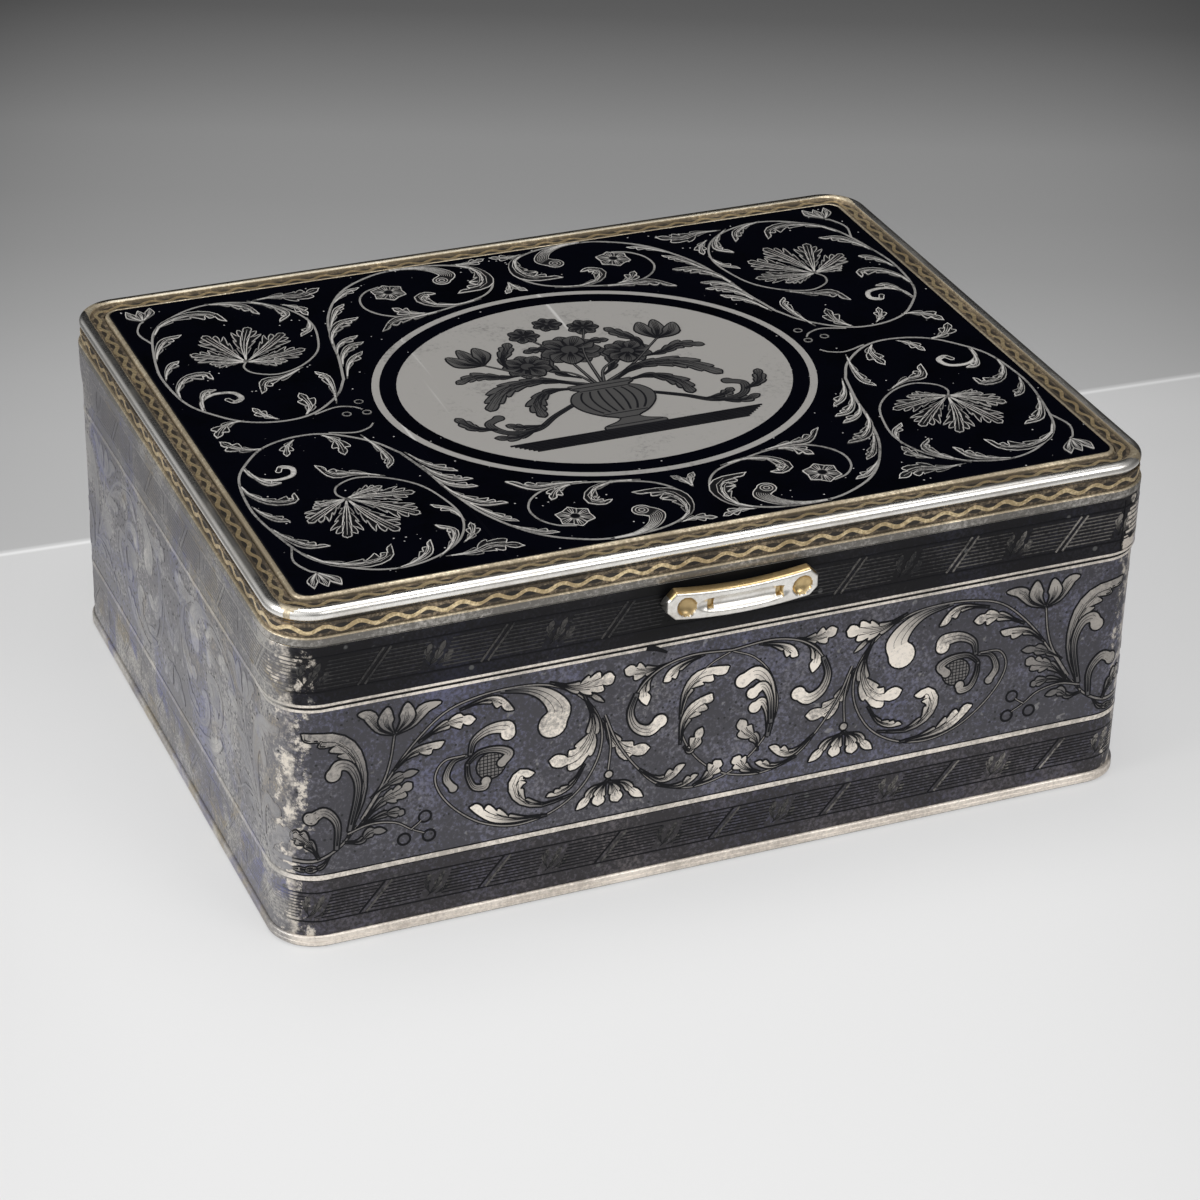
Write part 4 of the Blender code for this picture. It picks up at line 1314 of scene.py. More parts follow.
@dataclass
class LidOrnament:
    """Scrolls of one quarter of the lid plate, mirrored into the other three, around an oval medallion.

    Sizes are millimetres from the lid's middle; the quarter drawn is the one at the back on the left.
    """

    ring_oval: Point = (22.5, 20.35)  # half axes of the silver ring's middle line
    ring_width: float = 0.78  # of that ring
    field_oval: Point = (20.4, 18.1)  # half axes of the silver oval inside it
    oval_height: float = 0.003  # how far both stand above the plate

    def draw_corner_scroll(self, art: Drawing) -> None:
        """Long stem that winds round the corner to a vine leaf."""
        art.stem(
            [(-24.0, 8.5), (-25.8, 5.3), (-29.2, 2.4), (-32.6, 1.8), (-36.1, 2.9), (-38.6, 5.4), (-40.4, 8.5),
            (-41.1, 13.2), (-40.9, 17.5), (-39.3, 24.4), (-37.3, 27.2), (-34.2, 29.3), (-31.1, 29.9),
            (-27.9, 29.1), (-25.1, 27.2), (-23.5, 24.7), (-22.9, 21.9), (-23.3, 18.8), (-24.5, 15.4),
            (-27.0, 12.9), (-29.8, 11.9), (-32.0, 12.9), (-32.6, 14.4), (-32.0, 15.7)], 0.27, 0.2)
        art.leaves(
            ([(-39.3, 24.1), (-37.8, 26.8), (-34.8, 28.3), (-32.0, 27.7), (-31.0, 25.4)], 1.25, 5, 0.3, 1.0),
            ([(-40.5, 18.8), (-39.8, 21.0), (-38.4, 23.2), (-36.4, 23.8)], 0.9, 4, 0.35, 1.0, 0.9),
            ([(-40.9, 14.1), (-40.3, 16.0), (-39.3, 17.5), (-38.4, 18.0)], 0.65, 3, 0.4, 1.0, 0.85),
            ([(-40.7, 9.4), (-40.4, 11.9), (-38.9, 14.1), (-36.7, 14.4),
             (-36.3, 12.9)], 1.0, 5, 0.3, 1.0, 0.9),
            ([(-39.2, 6.6), (-38.7, 9.1), (-37.9, 10.4), (-36.8, 10.5)], 0.6, 3, 0.4, 0.8, 0.9))
        art.volute(
            [(-39.3, 6.3), (-38.9, 8.5), (-37.3, 9.7), (-35.4, 9.4), (-34.9, 8.0), (-35.8, 7.4),
            (-36.3, 8.1)], 0.3, 0.5, 0.28)
        art.leaves(
            ([(-32.8, 2.3), (-33.9, 3.5), (-34.6, 5.5)], 0.7, 3, 0.8, 0.8, 0.95),
            ([(-30.1, 2.2), (-29.0, 4.1), (-29.2, 7.1)], 0.85, 3, 0.9, 0.9, 0.95),
            ([(-26.4, 3.6), (-25.6, 6.9), (-25.4, 9.7), (-26.2, 11.1)], 0.7, 4, 1.0, 0.35, 0.9),
            ([(-36.2, 3.2), (-37.8, 2.9), (-38.9, 1.9), (-39.8, 0.4)], 0.85, 3, 0.8, 1.0, 0.95),
            ([(-32.0, 30.0), (-29.8, 29.3), (-28.1, 28.0), (-27.3, 25.9)], 0.8, 4, 0.35, 1.0, 0.9),
            ([(-27.6, 29.3), (-25.6, 27.4), (-24.5, 25.0), (-25.9, 23.4)], 0.7, 4, 0.3, 1.0, 0.95),
            ([(-22.9, 23.5), (-23.3, 21.0), (-24.9, 19.4)], 0.6, 3, 0.3, 1.0, 0.85),
            ([(-27.0, 29.3), (-24.2, 29.4), (-22.0, 28.7), (-19.4, 29.9)], 1.2, 4, 1.0, 0.9),
            ([(-24.5, 27.4), (-23.2, 26.1), (-22.6, 24.0)], 0.7, 3, 0.9, 0.7, 0.9),
            ([(-27.0, 12.5), (-29.5, 11.1), (-31.7, 10.7), (-32.7, 8.2)], 1.1, 4, 1.0, 0.35))
        self.draw_vine_leaf(art, (-32.0, 15.6))
        art.stem([(-39.8, 22.7), (-40.5, 25.4), (-39.8, 27.5), (-39.2, 28.1)], 0.2, 0.18)
        for side, tip in (
                ((-40.0, 29.4), (-40.3, 30.9)), ((-38.1, 29.7), (-37.7, 31.0)),
                ((-39.0, 29.6), (-39.0, 30.9))):
            art.leaf([(-39.2, 28.2), side, tip], 0.42, 1, shine=0.85)
        art.stem([(-29.2, 2.1), (-26.7, 2.9), (-25.1, 2.4), (-24.4, 1.6)], 0.22, 0.18)

    def draw_vine_leaf(self, art: Drawing, foot: Point) -> None:
        """Broad leaf of seven lobed fingers around its foot."""
        for middle, tip, width in (
                ((-33.9, 15.9), (-35.6, 16.4), 0.9), ((-30.1, 14.9), (-28.0, 14.4), 0.9),
                ((-34.3, 17.1), (-36.9, 19.0), 1.35), ((-28.9, 15.9), (-25.4, 16.5), 1.35),
                ((-33.2, 19.2), (-34.4, 22.9), 1.5), ((-29.0, 18.2), (-26.4, 20.8), 1.5),
                ((-31.0, 19.6), (-29.4, 23.3), 1.5)):
            art.leaf([foot, middle, tip], width * 0.85, 5, shine=0.6)

    def draw_upper_scroll(self, art: Drawing) -> None:
        """Second stem, along the long edge, that winds in to a small flower."""
        art.stem(
            [(-24.0, 8.5), (-22.9, 13.2), (-22.3, 16.9), (-20.8, 22.8), (-17.6, 28.1), (-13.3, 30.9),
            (-9.5, 31.5), (-5.8, 31.1), (-2.9, 29.6), (-1.5, 26.9), (-1.8, 24.4), (-3.6, 22.3), (-7.0, 21.0),
            (-10.1, 20.2), (-13.2, 20.2), (-15.4, 21.5), (-16.5, 23.5), (-16.3, 25.7), (-15.1, 27.3),
            (-13.4, 28.0)], 0.28, 0.2)
        art.leaves(
            ([(-23.6, 8.5), (-22.6, 11.3), (-21.4, 12.9), (-20.1, 13.9)], 0.65, 3, 0.35, 1.0, 0.85),
            ([(-23.1, 11.3), (-22.3, 13.8), (-20.9, 15.5), (-19.3, 15.9)], 0.75, 4, 0.35, 1.0, 0.9),
            ([(-22.9, 13.8), (-22.0, 16.0), (-20.6, 17.1), (-19.4, 17.5)], 0.6, 3, 0.35, 1.0, 0.85),
            ([(-22.6, 16.0), (-21.8, 18.8), (-20.1, 21.0), (-17.9, 21.6)], 0.95, 5, 0.35, 1.0, 0.9),
            ([(-21.5, 20.0), (-20.4, 22.5), (-19.3, 24.4), (-18.2, 25.3)], 0.65, 4, 0.35, 1.0, 0.85),
            ([(-19.5, 25.5), (-17.9, 27.2), (-16.7, 28.2), (-15.4, 28.6)], 0.6, 3, 0.4, 1.0, 0.85))
        art.volute([(-11.4, 31.5), (-8.6, 31.3), (-6.5, 30.2), (-5.5, 28.5), (-6.5, 27.3)], 0.25, 1.7, 0.95)
        art.leaves(
            ([(-4.2, 30.7), (-2.3, 29.1), (-1.8, 26.6), (-2.9, 24.4), (-6.0, 23.7)], 1.65, 6, 0.4, 1.0),
            ([(-4.2, 21.6), (-7.0, 21.0), (-9.5, 21.9), (-10.4, 23.8), (-9.3, 24.8),
             (-8.3, 24.4)], 1.0, 5, 0.4, 1.0, 0.95),
            ([(-10.8, 20.2), (-12.6, 20.8), (-13.8, 22.5)], 0.75, 3, 0.8, 1.0, 0.95),
            ([(-9.2, 20.2), (-12.0, 19.8), (-14.5, 19.7), (-16.6, 17.6)], 0.9, 4, 1.0, 0.4, 0.95))
        art.rose((-12.9, 26.3), 1.9, 6, 0.9)
        art.leaves(
            ([(-3.9, 30.7), (-2.2, 30.4), (-0.3, 31.0)], 0.65, 3, 0.9, 0.9, 0.85),
            ([(0.0, 24.6), (-0.4, 23.0), (-1.2, 21.9)], 0.45, 2, 0.9, 0.9, 0.8))

    def draw_medallion(self) -> Drawing:
        """Silver oval inside a dark ring and a silver ring."""
        art = Drawing()
        turn = np.linspace(0, 2 * math.pi, 96, endpoint=False)
        oval = np.column_stack((self.field_oval[0] * np.cos(turn), self.field_oval[1] * np.sin(turn)))
        art.shapes.append(Shape(oval, Tone.SILVER, self.oval_height, np.full(len(oval), 1.0)))
        art.ring((0, 0), *self.ring_oval, self.ring_width, shine=1.0, steps=120, height=self.oval_height)
        return art

    def draw_urn(self, art: Drawing) -> None:
        """Fluted urn on a hatched slab, in the lower middle of the oval."""
        half = [
            (3.2, -11.0), (3.1, -10.4), (1.5, -9.7), (1.0, -8.9), (2.5, -7.9), (3.9, -6.2), (4.3, -4.4),
            (3.6, -2.9), (2.6, -2.2), (3.3, -1.6), (3.4, -1.0)]
        side = smooth_path(half, 4)
        height = art.next_height()
        art.fill(np.vstack((side, (side * (-1, 1))[::-1])), 0.4, height, True)
        height += art.lift * 2 / 3
        for share in np.linspace(-0.75, 0.75, 7):
            art.line(side[17:30] * (share, 1), 0.24, 0.2, height)
        for level, reach in ((-10.4, 3.0), (-9.0, 1.0), (-7.9, 2.4), (-2.4, 2.7), (-1.6, 3.2)):
            art.line(np.array([(-reach, level), (reach, level)]), 0.16, 0.16, height)
        for level in np.linspace(-12.8, -11.0, 7):
            reach = 13.5 + (level + 11.0) * 1.2
            art.line(np.array([(-reach, level), (reach, level)]), 0.22, 0.22, height)

    def draw_spray(self, art: Drawing) -> None:
        """Right half of the flowers above the urn."""
        art.stem([(0.5, -1.0), (1.8, 2.0), (5.2, 4.2)], 0.3, 0.22)
        art.stem([(0.9, -1.0), (4.6, 1.6), (9.6, 6.6)], 0.3, 0.22)
        art.stem([(0.3, -1.0), (1.2, 6.0), (3.2, 11.0)], 0.28, 0.2)
        art.leaves(
            ([(1.6, -1.0), (5.2, 1.2), (9.4, 0.6), (12.6, -3.2)], 1.5, 6, 1.0, 0.7, 0.5),
            ([(2.6, -1.4), (5.6, -1.2), (7.6, -3.4), (8.0, -6.2)], 1.2, 5, 1.0, 0.7, 0.4),
            ([(1.2, 0.6), (2.8, 2.2), (3.4, 4.6), (2.6, 6.8)], 0.9, 4, 0.8, 1.0, 0.4),
            ([(6.6, 3.2), (8.8, 3.4), (11.2, 4.4), (13.6, 3.6)], 1.0, 5, 1.0, 0.8, 0.5),
            ([(7.6, 4.6), (7.4, 7.0), (6.2, 9.0), (5.4, 10.6)], 0.9, 4, 0.8, 1.0, 0.5),
            ([(1.6, 7.6), (3.0, 8.2), (4.6, 8.0)], 0.6, 3, 1.0, 1.0, 0.4))
        for spine, width in (
                ([(9.6, 6.6), (9.0, 8.4), (9.2, 10.6)], 0.9), ([(9.6, 6.6), (11.4, 7.4), (12.6, 9.4)], 0.9),
                ([(9.6, 6.6), (10.4, 8.4), (10.9, 10.8)], 0.8)):
            art.leaf(spine, width, 1, shine=0.7)
        art.rose((5.5, 4.8), 2.5, 9)
        art.rose((3.3, 11.6), 1.6, 7)
        art.volute(
            [(4.2, -4.6), (7.0, -6.4), (9.6, -8.4), (12.6, -8.2), (13.8, -6.0), (12.4, -4.9)], 0.3, 0.7, 0.5,
            0.3)
        art.leaves(
            ([(8.6, -7.8), (10.8, -7.6), (12.2, -6.6)], 0.6, 3, 1.0, 1.0, 0.5),
            ([(9.4, -8.3), (12.0, -9.4), (14.2, -8.8)], 0.6, 3, 1.0, 1.0, 0.5),
            ([(13.4, -7.2), (15.4, -6.2), (16.4, -3.6)], 0.7, 4, 1.0, 1.0, 0.5))

    def build(self) -> None:
        """Lays the ornament on the lid plate."""
        _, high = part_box("lid_plate")
        art = Drawing(
            vein=0.11, dull=0.0, hatches=3, reach=0.8, rim=0.1, levels=7, glow=0.015, stalk=0.5, notch=0.28,
            spread=1.25, taper=0.95)
        self.draw_corner_scroll(art)
        self.draw_upper_scroll(art)
        shapes = [
            shape.moved(flip_x, flip_y) for flip_x in (False, True) for flip_y in (False, True)
            for shape in art.shapes]
        berries = Drawing(levels=7)
        for berry in ((-24.2, 3.3), (-26.2, 1.1), (-24.2, 0.8)):
            berries.ring(berry, 0.42, 0.42, 0.13, shine=0.35)
        shapes += berries.mirrored()

        def put(rows: Array) -> Array:
            """Panel millimetres to places on the plate."""
            return np.column_stack((rows[:, 0] * MM, rows[:, 1] * MM, high.z + rows[:, 2] * MM))

        present(ornament("lid_scrolls", shapes, put, (), LID_SILVER, ENGRAVED), Body.LID, Slot.SILVER)
        medallion = self.draw_medallion().shapes
        present(ornament("lid_medallion", medallion, put, (), OVAL_SILVER, ENGRAVED), Body.LID, Slot.SILVER)
        spray = Drawing(outline=0.17, vein=0.16, dull=0.0, hatches=5, reach=0.9, notch=0.4, glow=0.34)
        self.draw_spray(spray)
        spray.shapes = spray.mirrored()
        self.draw_urn(spray)
        spray.rose((0.0, 7.0), 3.2, 11)
        spray.rose((0.0, 13.4), 1.5, 7)
        piece = ornament("lid_medallion_flowers", spray.shapes, put, (), OVAL_SILVER, ENGRAVED)
        present(piece, Body.LID, Slot.SILVER)


@dataclass
class WallPanel:
    """The outside of a wall as a flat panel, in millimetres from the front's middle and above the table."""

    plan: Plan  # outline of the wall
    out: float = 0.0  # how far the face stands outside that outline, in metres
    steps: int = 10  # splits of ornament at each corner

    @property
    def half_front(self) -> float:
        """From the front's middle to the middle of a corner."""
        return (self.plan.flat_x + self.plan.arc / 2) / MM

    @property
    def half_side(self) -> float:
        """From a side's middle to the middle of a corner."""
        return (self.plan.flat_y + self.plan.arc / 2) / MM

    def bends(self) -> Array:
        """Lengths at which ornament is split to follow the corners, also one turn on and one turn back."""
        once = self.plan.stations(self.steps) / MM
        whole = self.plan.perimeter / MM
        return np.concatenate((once - whole, once, once + whole))

    def put(self, rows: Array) -> Array:
        """Panel millimetres to places on the wall."""
        x, y = self.plan.place(rows[:, 0] * MM, self.out + rows[:, 2] * MM)
        return np.column_stack((x, y, rows[:, 1] * MM))


@dataclass
class Frieze:
    """Scrolls around the body's wall."""

    panel: WallPanel  # the wall
    pendant_at: float = 12.46  # distance of the hanging flowers from the front's middle, in millimetres

    def pen(self, glow: float = 1.0) -> Drawing:
        """A drawing in the frieze's manner: silver with dark outlines."""
        return Drawing(
            outline=0.19, vein=0.11, dull=0.0, hatches=4, reach=0.62, notch=0.34, spread=1.1, glow=glow)

    def draw_bouquet(self) -> Drawing:
        """Right half of the bouquet at a corner, drawn from the corner's middle."""
        art = self.pen(0.5)
        art.stem([(0.0, 9.6), (2.4, 9.7), (4.6, 10.8), (6.4, 12.8)], 0.5, 0.3)
        art.leaf([(5.4, 11.6), (7.0, 16.2), (6.6, 20.1), (4.7, 22.7), (1.2, 23.6)], 1.5, 6, 1.0, 0.35, 0.85)
        art.volute([(5.6, 12.4), (6.5, 16.8), (5.9, 19.2), (4.7, 19.8), (4.1, 18.9)], 0.3, 1.1, 0.7, 0.8)
        art.volute([(4.3, 10.6), (4.4, 13.4), (3.2, 15.0), (1.9, 14.4)], 0.3, 0.9, 0.65, 0.7)
        art.leaves(
            ([(2.6, 9.8), (1.9, 11.3), (0.9, 12.2), (0.0, 12.6)], 0.8, 3, 1.0, 1.0, 0.7),
            ([(3.8, 10.3), (2.9, 9.0), (1.6, 8.7), (0.0, 8.7)], 0.5, 3, 0.6, 0.6, 0.5))
        art.stem([(6.8, 13.4), (8.9, 16.9), (9.7, 19.3), (10.1, 21.9)], 0.3, 0.3)
        for spine, width in (
                ([(10.1, 22.0), (8.7, 22.8), (7.7, 24.5), (6.6, 24.9)], 0.55),
                ([(10.2, 22.0), (11.8, 22.8), (13.0, 24.2), (14.7, 24.6)], 0.55),
                ([(10.1, 22.1), (9.3, 23.4), (9.5, 25.1)], 0.7),
                ([(10.2, 22.1), (11.3, 23.5), (11.4, 25.2)], 0.7)):
            art.leaf(spine, width, 1, shine=0.8)
        art.leaves(
            ([(6.6, 12.7), (8.7, 14.9), (10.3, 15.5), (11.8, 16.3)], 0.95, 4, 0.8, 1.0, 0.5),
            ([(7.7, 15.5), (8.9, 16.4), (10.6, 17.2), (12.4, 17.5)], 0.7, 3, 0.8, 0.7, 0.25),
            ([(6.3, 12.5), (8.6, 13.4), (10.3, 13.4), (11.0, 13.1)], 0.6, 3, 0.8, 0.8, 0.2),
            ([(5.1, 11.2), (6.6, 11.0), (7.7, 11.8), (9.2, 11.6)], 0.6, 3, 0.8, 0.8, 0.2))
        art.stem([(5.4, 12.1), (7.7, 12.7), (10.1, 12.3), (11.7, 11.2), (13.0, 10.5)], 0.28, 0.2)
        art.stem([(11.7, 11.2), (12.4, 11.7), (12.7, 12.0)], 0.2, 0.2)
        for berry in ((13.1, 12.3), (11.0, 10.2), (13.5, 10.1)):
            art.ring(berry, 0.62, 0.62, art.outline * 1.3, Tone.LINE)
        return art

    def draw_scroll(self) -> Drawing:
        """Large scroll to the right of a corner, drawn from the corner's middle."""
        art = self.pen()
        art.stem(
            [(7.1, 13.7), (9.2, 16.9), (11.8, 20.4), (15.0, 23.3), (18.5, 24.4), (22.3, 24.6), (25.5, 24.1),
            (28.4, 22.5), (30.3, 20.1), (31.0, 17.5), (30.5, 14.6), (28.7, 11.7), (25.8, 9.8), (22.3, 9.2),
            (19.1, 10.1), (16.5, 12.0), (14.7, 14.3), (14.1, 16.4), (15.0, 18.0), (17.1, 18.2)], 0.26, 0.3)
        art.leaves(
            ([(9.9, 18.0), (11.8, 19.6), (13.4, 19.9), (15.0, 20.2)], 0.75, 3, 0.5, 1.0, 0.65),
            ([(12.4, 20.6), (14.7, 21.9), (16.5, 22.3), (18.1, 22.0)], 0.95, 3, 0.6, 1.0, 0.95),
            ([(16.5, 23.3), (19.1, 23.9), (20.6, 23.5), (21.9, 22.2)], 0.75, 3, 0.4, 1.0, 0.9),
            ([(25.5, 24.4), (28.1, 23.3), (29.9, 23.3), (32.1, 23.7)], 1.15, 4, 1.0, 1.0, 0.95),
            ([(27.8, 23.3), (29.6, 22.3), (31.1, 21.1)], 0.35, 2, 0.6, 0.8, 0.4))
        art.volute([(20.6, 24.5), (23.5, 24.0), (25.4, 22.9), (26.5, 21.2), (25.9, 19.7)], 0.25, 2.3, 1.4)
        art.leaves(
            ([(29.0, 22.4), (30.1, 19.4), (29.6, 16.9), (28.0, 15.3), (25.6, 15.7)], 1.5, 4, 0.8, 0.8),
            ([(28.1, 11.4), (24.9, 10.9), (22.7, 11.9), (22.0, 13.7), (22.7, 15.0),
             (24.1, 14.7)], 1.1, 5, 0.45, 1.0, 0.95),
            ([(29.3, 14.6), (28.1, 12.6), (26.7, 11.8), (25.4, 11.7)], 0.6, 4, 0.2, 1.0, 0.6),
            ([(25.5, 9.6), (22.0, 9.9), (19.7, 10.8), (17.6, 12.3)], 1.05, 4, 0.45, 1.0))
        art.volute([(17.6, 18.1), (18.0, 19.6), (19.5, 20.5), (21.2, 20.4), (21.4, 19.7)], 0.3, 1.35, 0.7)
        art.volute([(17.3, 18.1), (15.9, 17.7), (15.2, 16.1), (15.9, 14.8)], 0.2, 0.6, 0.4, 0.3)
        self.draw_seed_head(art, (19.7, 16.5))
        art.volute(
            [(17.3, 17.2), (18.5, 18.2), (20.3, 18.2), (21.5, 17.5), (20.8, 16.6)], 0.2, 0.8, 0.45, 0.3)
        art.volute(
            [(17.3, 17.2), (17.4, 15.8), (18.0, 14.5), (19.0, 14.3), (19.2, 14.9)], 0.2, 0.7, 0.45, 0.4)
        art.leaf([(30.9, 19.3), (32.1, 16.9), (33.7, 15.2), (36.0, 14.9)], 1.05, 3, 0.8, 1.0)
        return art

    def draw_seed_head(self, art: Drawing, centre: Point, radius: float = 1.4, lines: int = 7) -> None:
        """Round cross-hatched seed head inside the scroll."""
        art.disc(centre, radius, 0.1)
        height = art.next_height()
        for step in np.linspace(-0.8, 0.8, lines) * radius:
            half = math.sqrt(radius**2 - step**2) * 0.95
            for turn in (1, -1):
                path = np.array([(step, -half), (step, half)])[:, ::turn] + np.asarray(centre)
                art.line(path, art.vein * 0.8, art.vein * 0.8, height)

    def draw_pendant(self) -> Drawing:
        """Hanging flower under the fork of two scrolls, about its own middle."""
        art = self.pen()
        art.stem([(-0.4, 18.7), (0.1, 16.1), (-0.1, 13.0)], 0.2, 0.3)
        art.disc((0.0, 12.8), 0.35, 0.5)
        for spine, width in (
                ([(-0.1, 12.0), (-1.6, 11.5), (-2.3, 10.4), (-3.3, 9.5)], 0.5),
                ([(0.0, 12.0), (1.6, 11.5), (2.5, 10.4), (3.6, 9.5)], 0.5),
                ([(-0.1, 12.3), (-0.9, 10.9), (-1.1, 9.5)], 0.75),
                ([(0.0, 12.3), (0.6, 10.9), (1.0, 9.5)], 0.75)):
            art.leaf(spine, width, 2, shine=0.9)
        return art

    def draw_middle(self) -> Drawing:
        """Left half of the double scroll in the front's middle, about that middle."""
        art = self.pen()
        art.stem(
            [(-13.0, 19.6), (-11.6, 16.1), (-9.5, 12.9), (-7.2, 10.5), (-3.7, 9.4), (0.0, 10.1), (2.6, 11.9),
            (4.4, 14.4), (5.1, 17.2), (4.2, 20.6), (2.4, 22.8), (0.0, 24.0)], 0.26, 0.24)
        art.leaves(
            ([(-9.3, 12.7), (-7.2, 11.0), (-5.8, 11.2), (-4.5, 12.2)], 0.75, 3, 1.0, 0.4, 0.8),
            ([(-7.5, 10.5), (-5.2, 9.8), (-3.9, 10.2), (-3.1, 10.7)], 0.55, 3, 1.0, 0.3, 0.7))
        art.stem([(0.0, 24.1), (-4.0, 24.4), (-6.9, 23.8), (-8.8, 22.6), (-10.0, 21.0)], 0.24, 0.3)
        art.volute([(-9.8, 21.3), (-10.4, 19.3), (-9.8, 17.6), (-8.4, 16.9), (-7.3, 17.7)], 0.35, 1.15, 0.7)
        art.leaves(
            ([(-6.8, 23.9), (-8.4, 23.6), (-9.7, 23.7), (-11.1, 24.2)], 0.85, 3, 1.0, 1.0, 0.75),
            ([(-7.2, 23.7), (-8.8, 22.5), (-9.2, 21.0), (-8.7, 19.8)], 0.85, 2, 1.0, 0.5),
            ([(-2.8, 24.2), (-5.0, 23.6), (-6.3, 22.8), (-7.0, 22.0)], 0.75, 3, 1.0, 0.5, 0.95),
            ([(-3.6, 9.5), (-2.1, 10.2), (-1.3, 11.0), (-0.7, 11.8)], 0.9, 3, 1.0, 0.8, 0.8))
        return art

    def draw_circle_fill(self) -> Drawing:
        """What grows inside the middle circle: leaves on its left and a curled shoot on its right."""
        art = self.pen()
        art.leaves(
            ([(-5.2, 17.4), (-4.7, 20.4), (-3.1, 22.0), (-0.2, 22.3)], 1.25, 4, 0.4, 1.0),
            ([(-5.1, 14.5), (-4.8, 17.1), (-3.6, 18.6), (-1.9, 19.6)], 1.25, 4, 0.4, 1.0),
            ([(-4.7, 14.3), (-4.1, 13.6), (-3.3, 14.6), (-2.8, 16.0)], 0.8, 3, 1.0, 0.6, 0.7))
        art.volute([(4.2, 13.5), (4.6, 16.5), (4.1, 19.5), (2.8, 21.0), (1.3, 20.4)], 0.3, 1.3, 0.75)
        art.volute([(4.5, 15.0), (4.3, 17.8), (3.5, 19.4), (2.4, 18.8)], 0.3, 0.9, 0.6)
        art.volute([(4.3, 14.2), (4.1, 16.3), (3.5, 17.6), (2.7, 17.1)], 0.3, 0.8, 0.6, 0.9)
        art.leaf([(3.2, 12.0), (3.0, 13.4), (1.8, 14.6), (1.2, 16.0)], 0.8, 3, shine=0.6)
        return art

    def build(self) -> None:
        """Lays the frieze all round the wall."""
        front, side = self.panel.half_front, self.panel.half_side
        bouquet, scroll = self.draw_bouquet().shapes, self.draw_scroll().shapes
        middle = self.draw_middle().mirrored() + self.draw_circle_fill().shapes
        pendant = self.draw_pendant().shapes
        around = front + side
        faces = {
            "front": (0.0, front), "right": (around, side), "back": (2 * around, front),
            "left": (-around, side)}
        for name, (centre, half) in faces.items():
            shapes = [
                shape.moved(flip_x=flip, along=centre + (half if flip else -half)) for flip in (False, True)
                for shape in bouquet + scroll]
            if half == front:
                shapes += [shape.moved(along=centre) for shape in middle]
                shapes += [
                    shape.moved(flip_x=flip, along=centre + self.pendant_at * (1 if flip else -1))
                    for flip in (False, True) for shape in pendant]
            else:
                shapes += [shape.moved(along=centre) for shape in pendant]
            # the sides and back take the paler finishes: a painted sheen together with rubbing
            finishes = (WALL_SILVER, ENGRAVED) if half == front else (RUBBED_SHEEN_SILVER, RUBBED_SHEEN_LINE)
            piece = ornament(f"frieze_{name}", shapes, self.panel.put, self.panel.bends(), *finishes)
            present(piece, Body.BOX, Slot.SILVER)


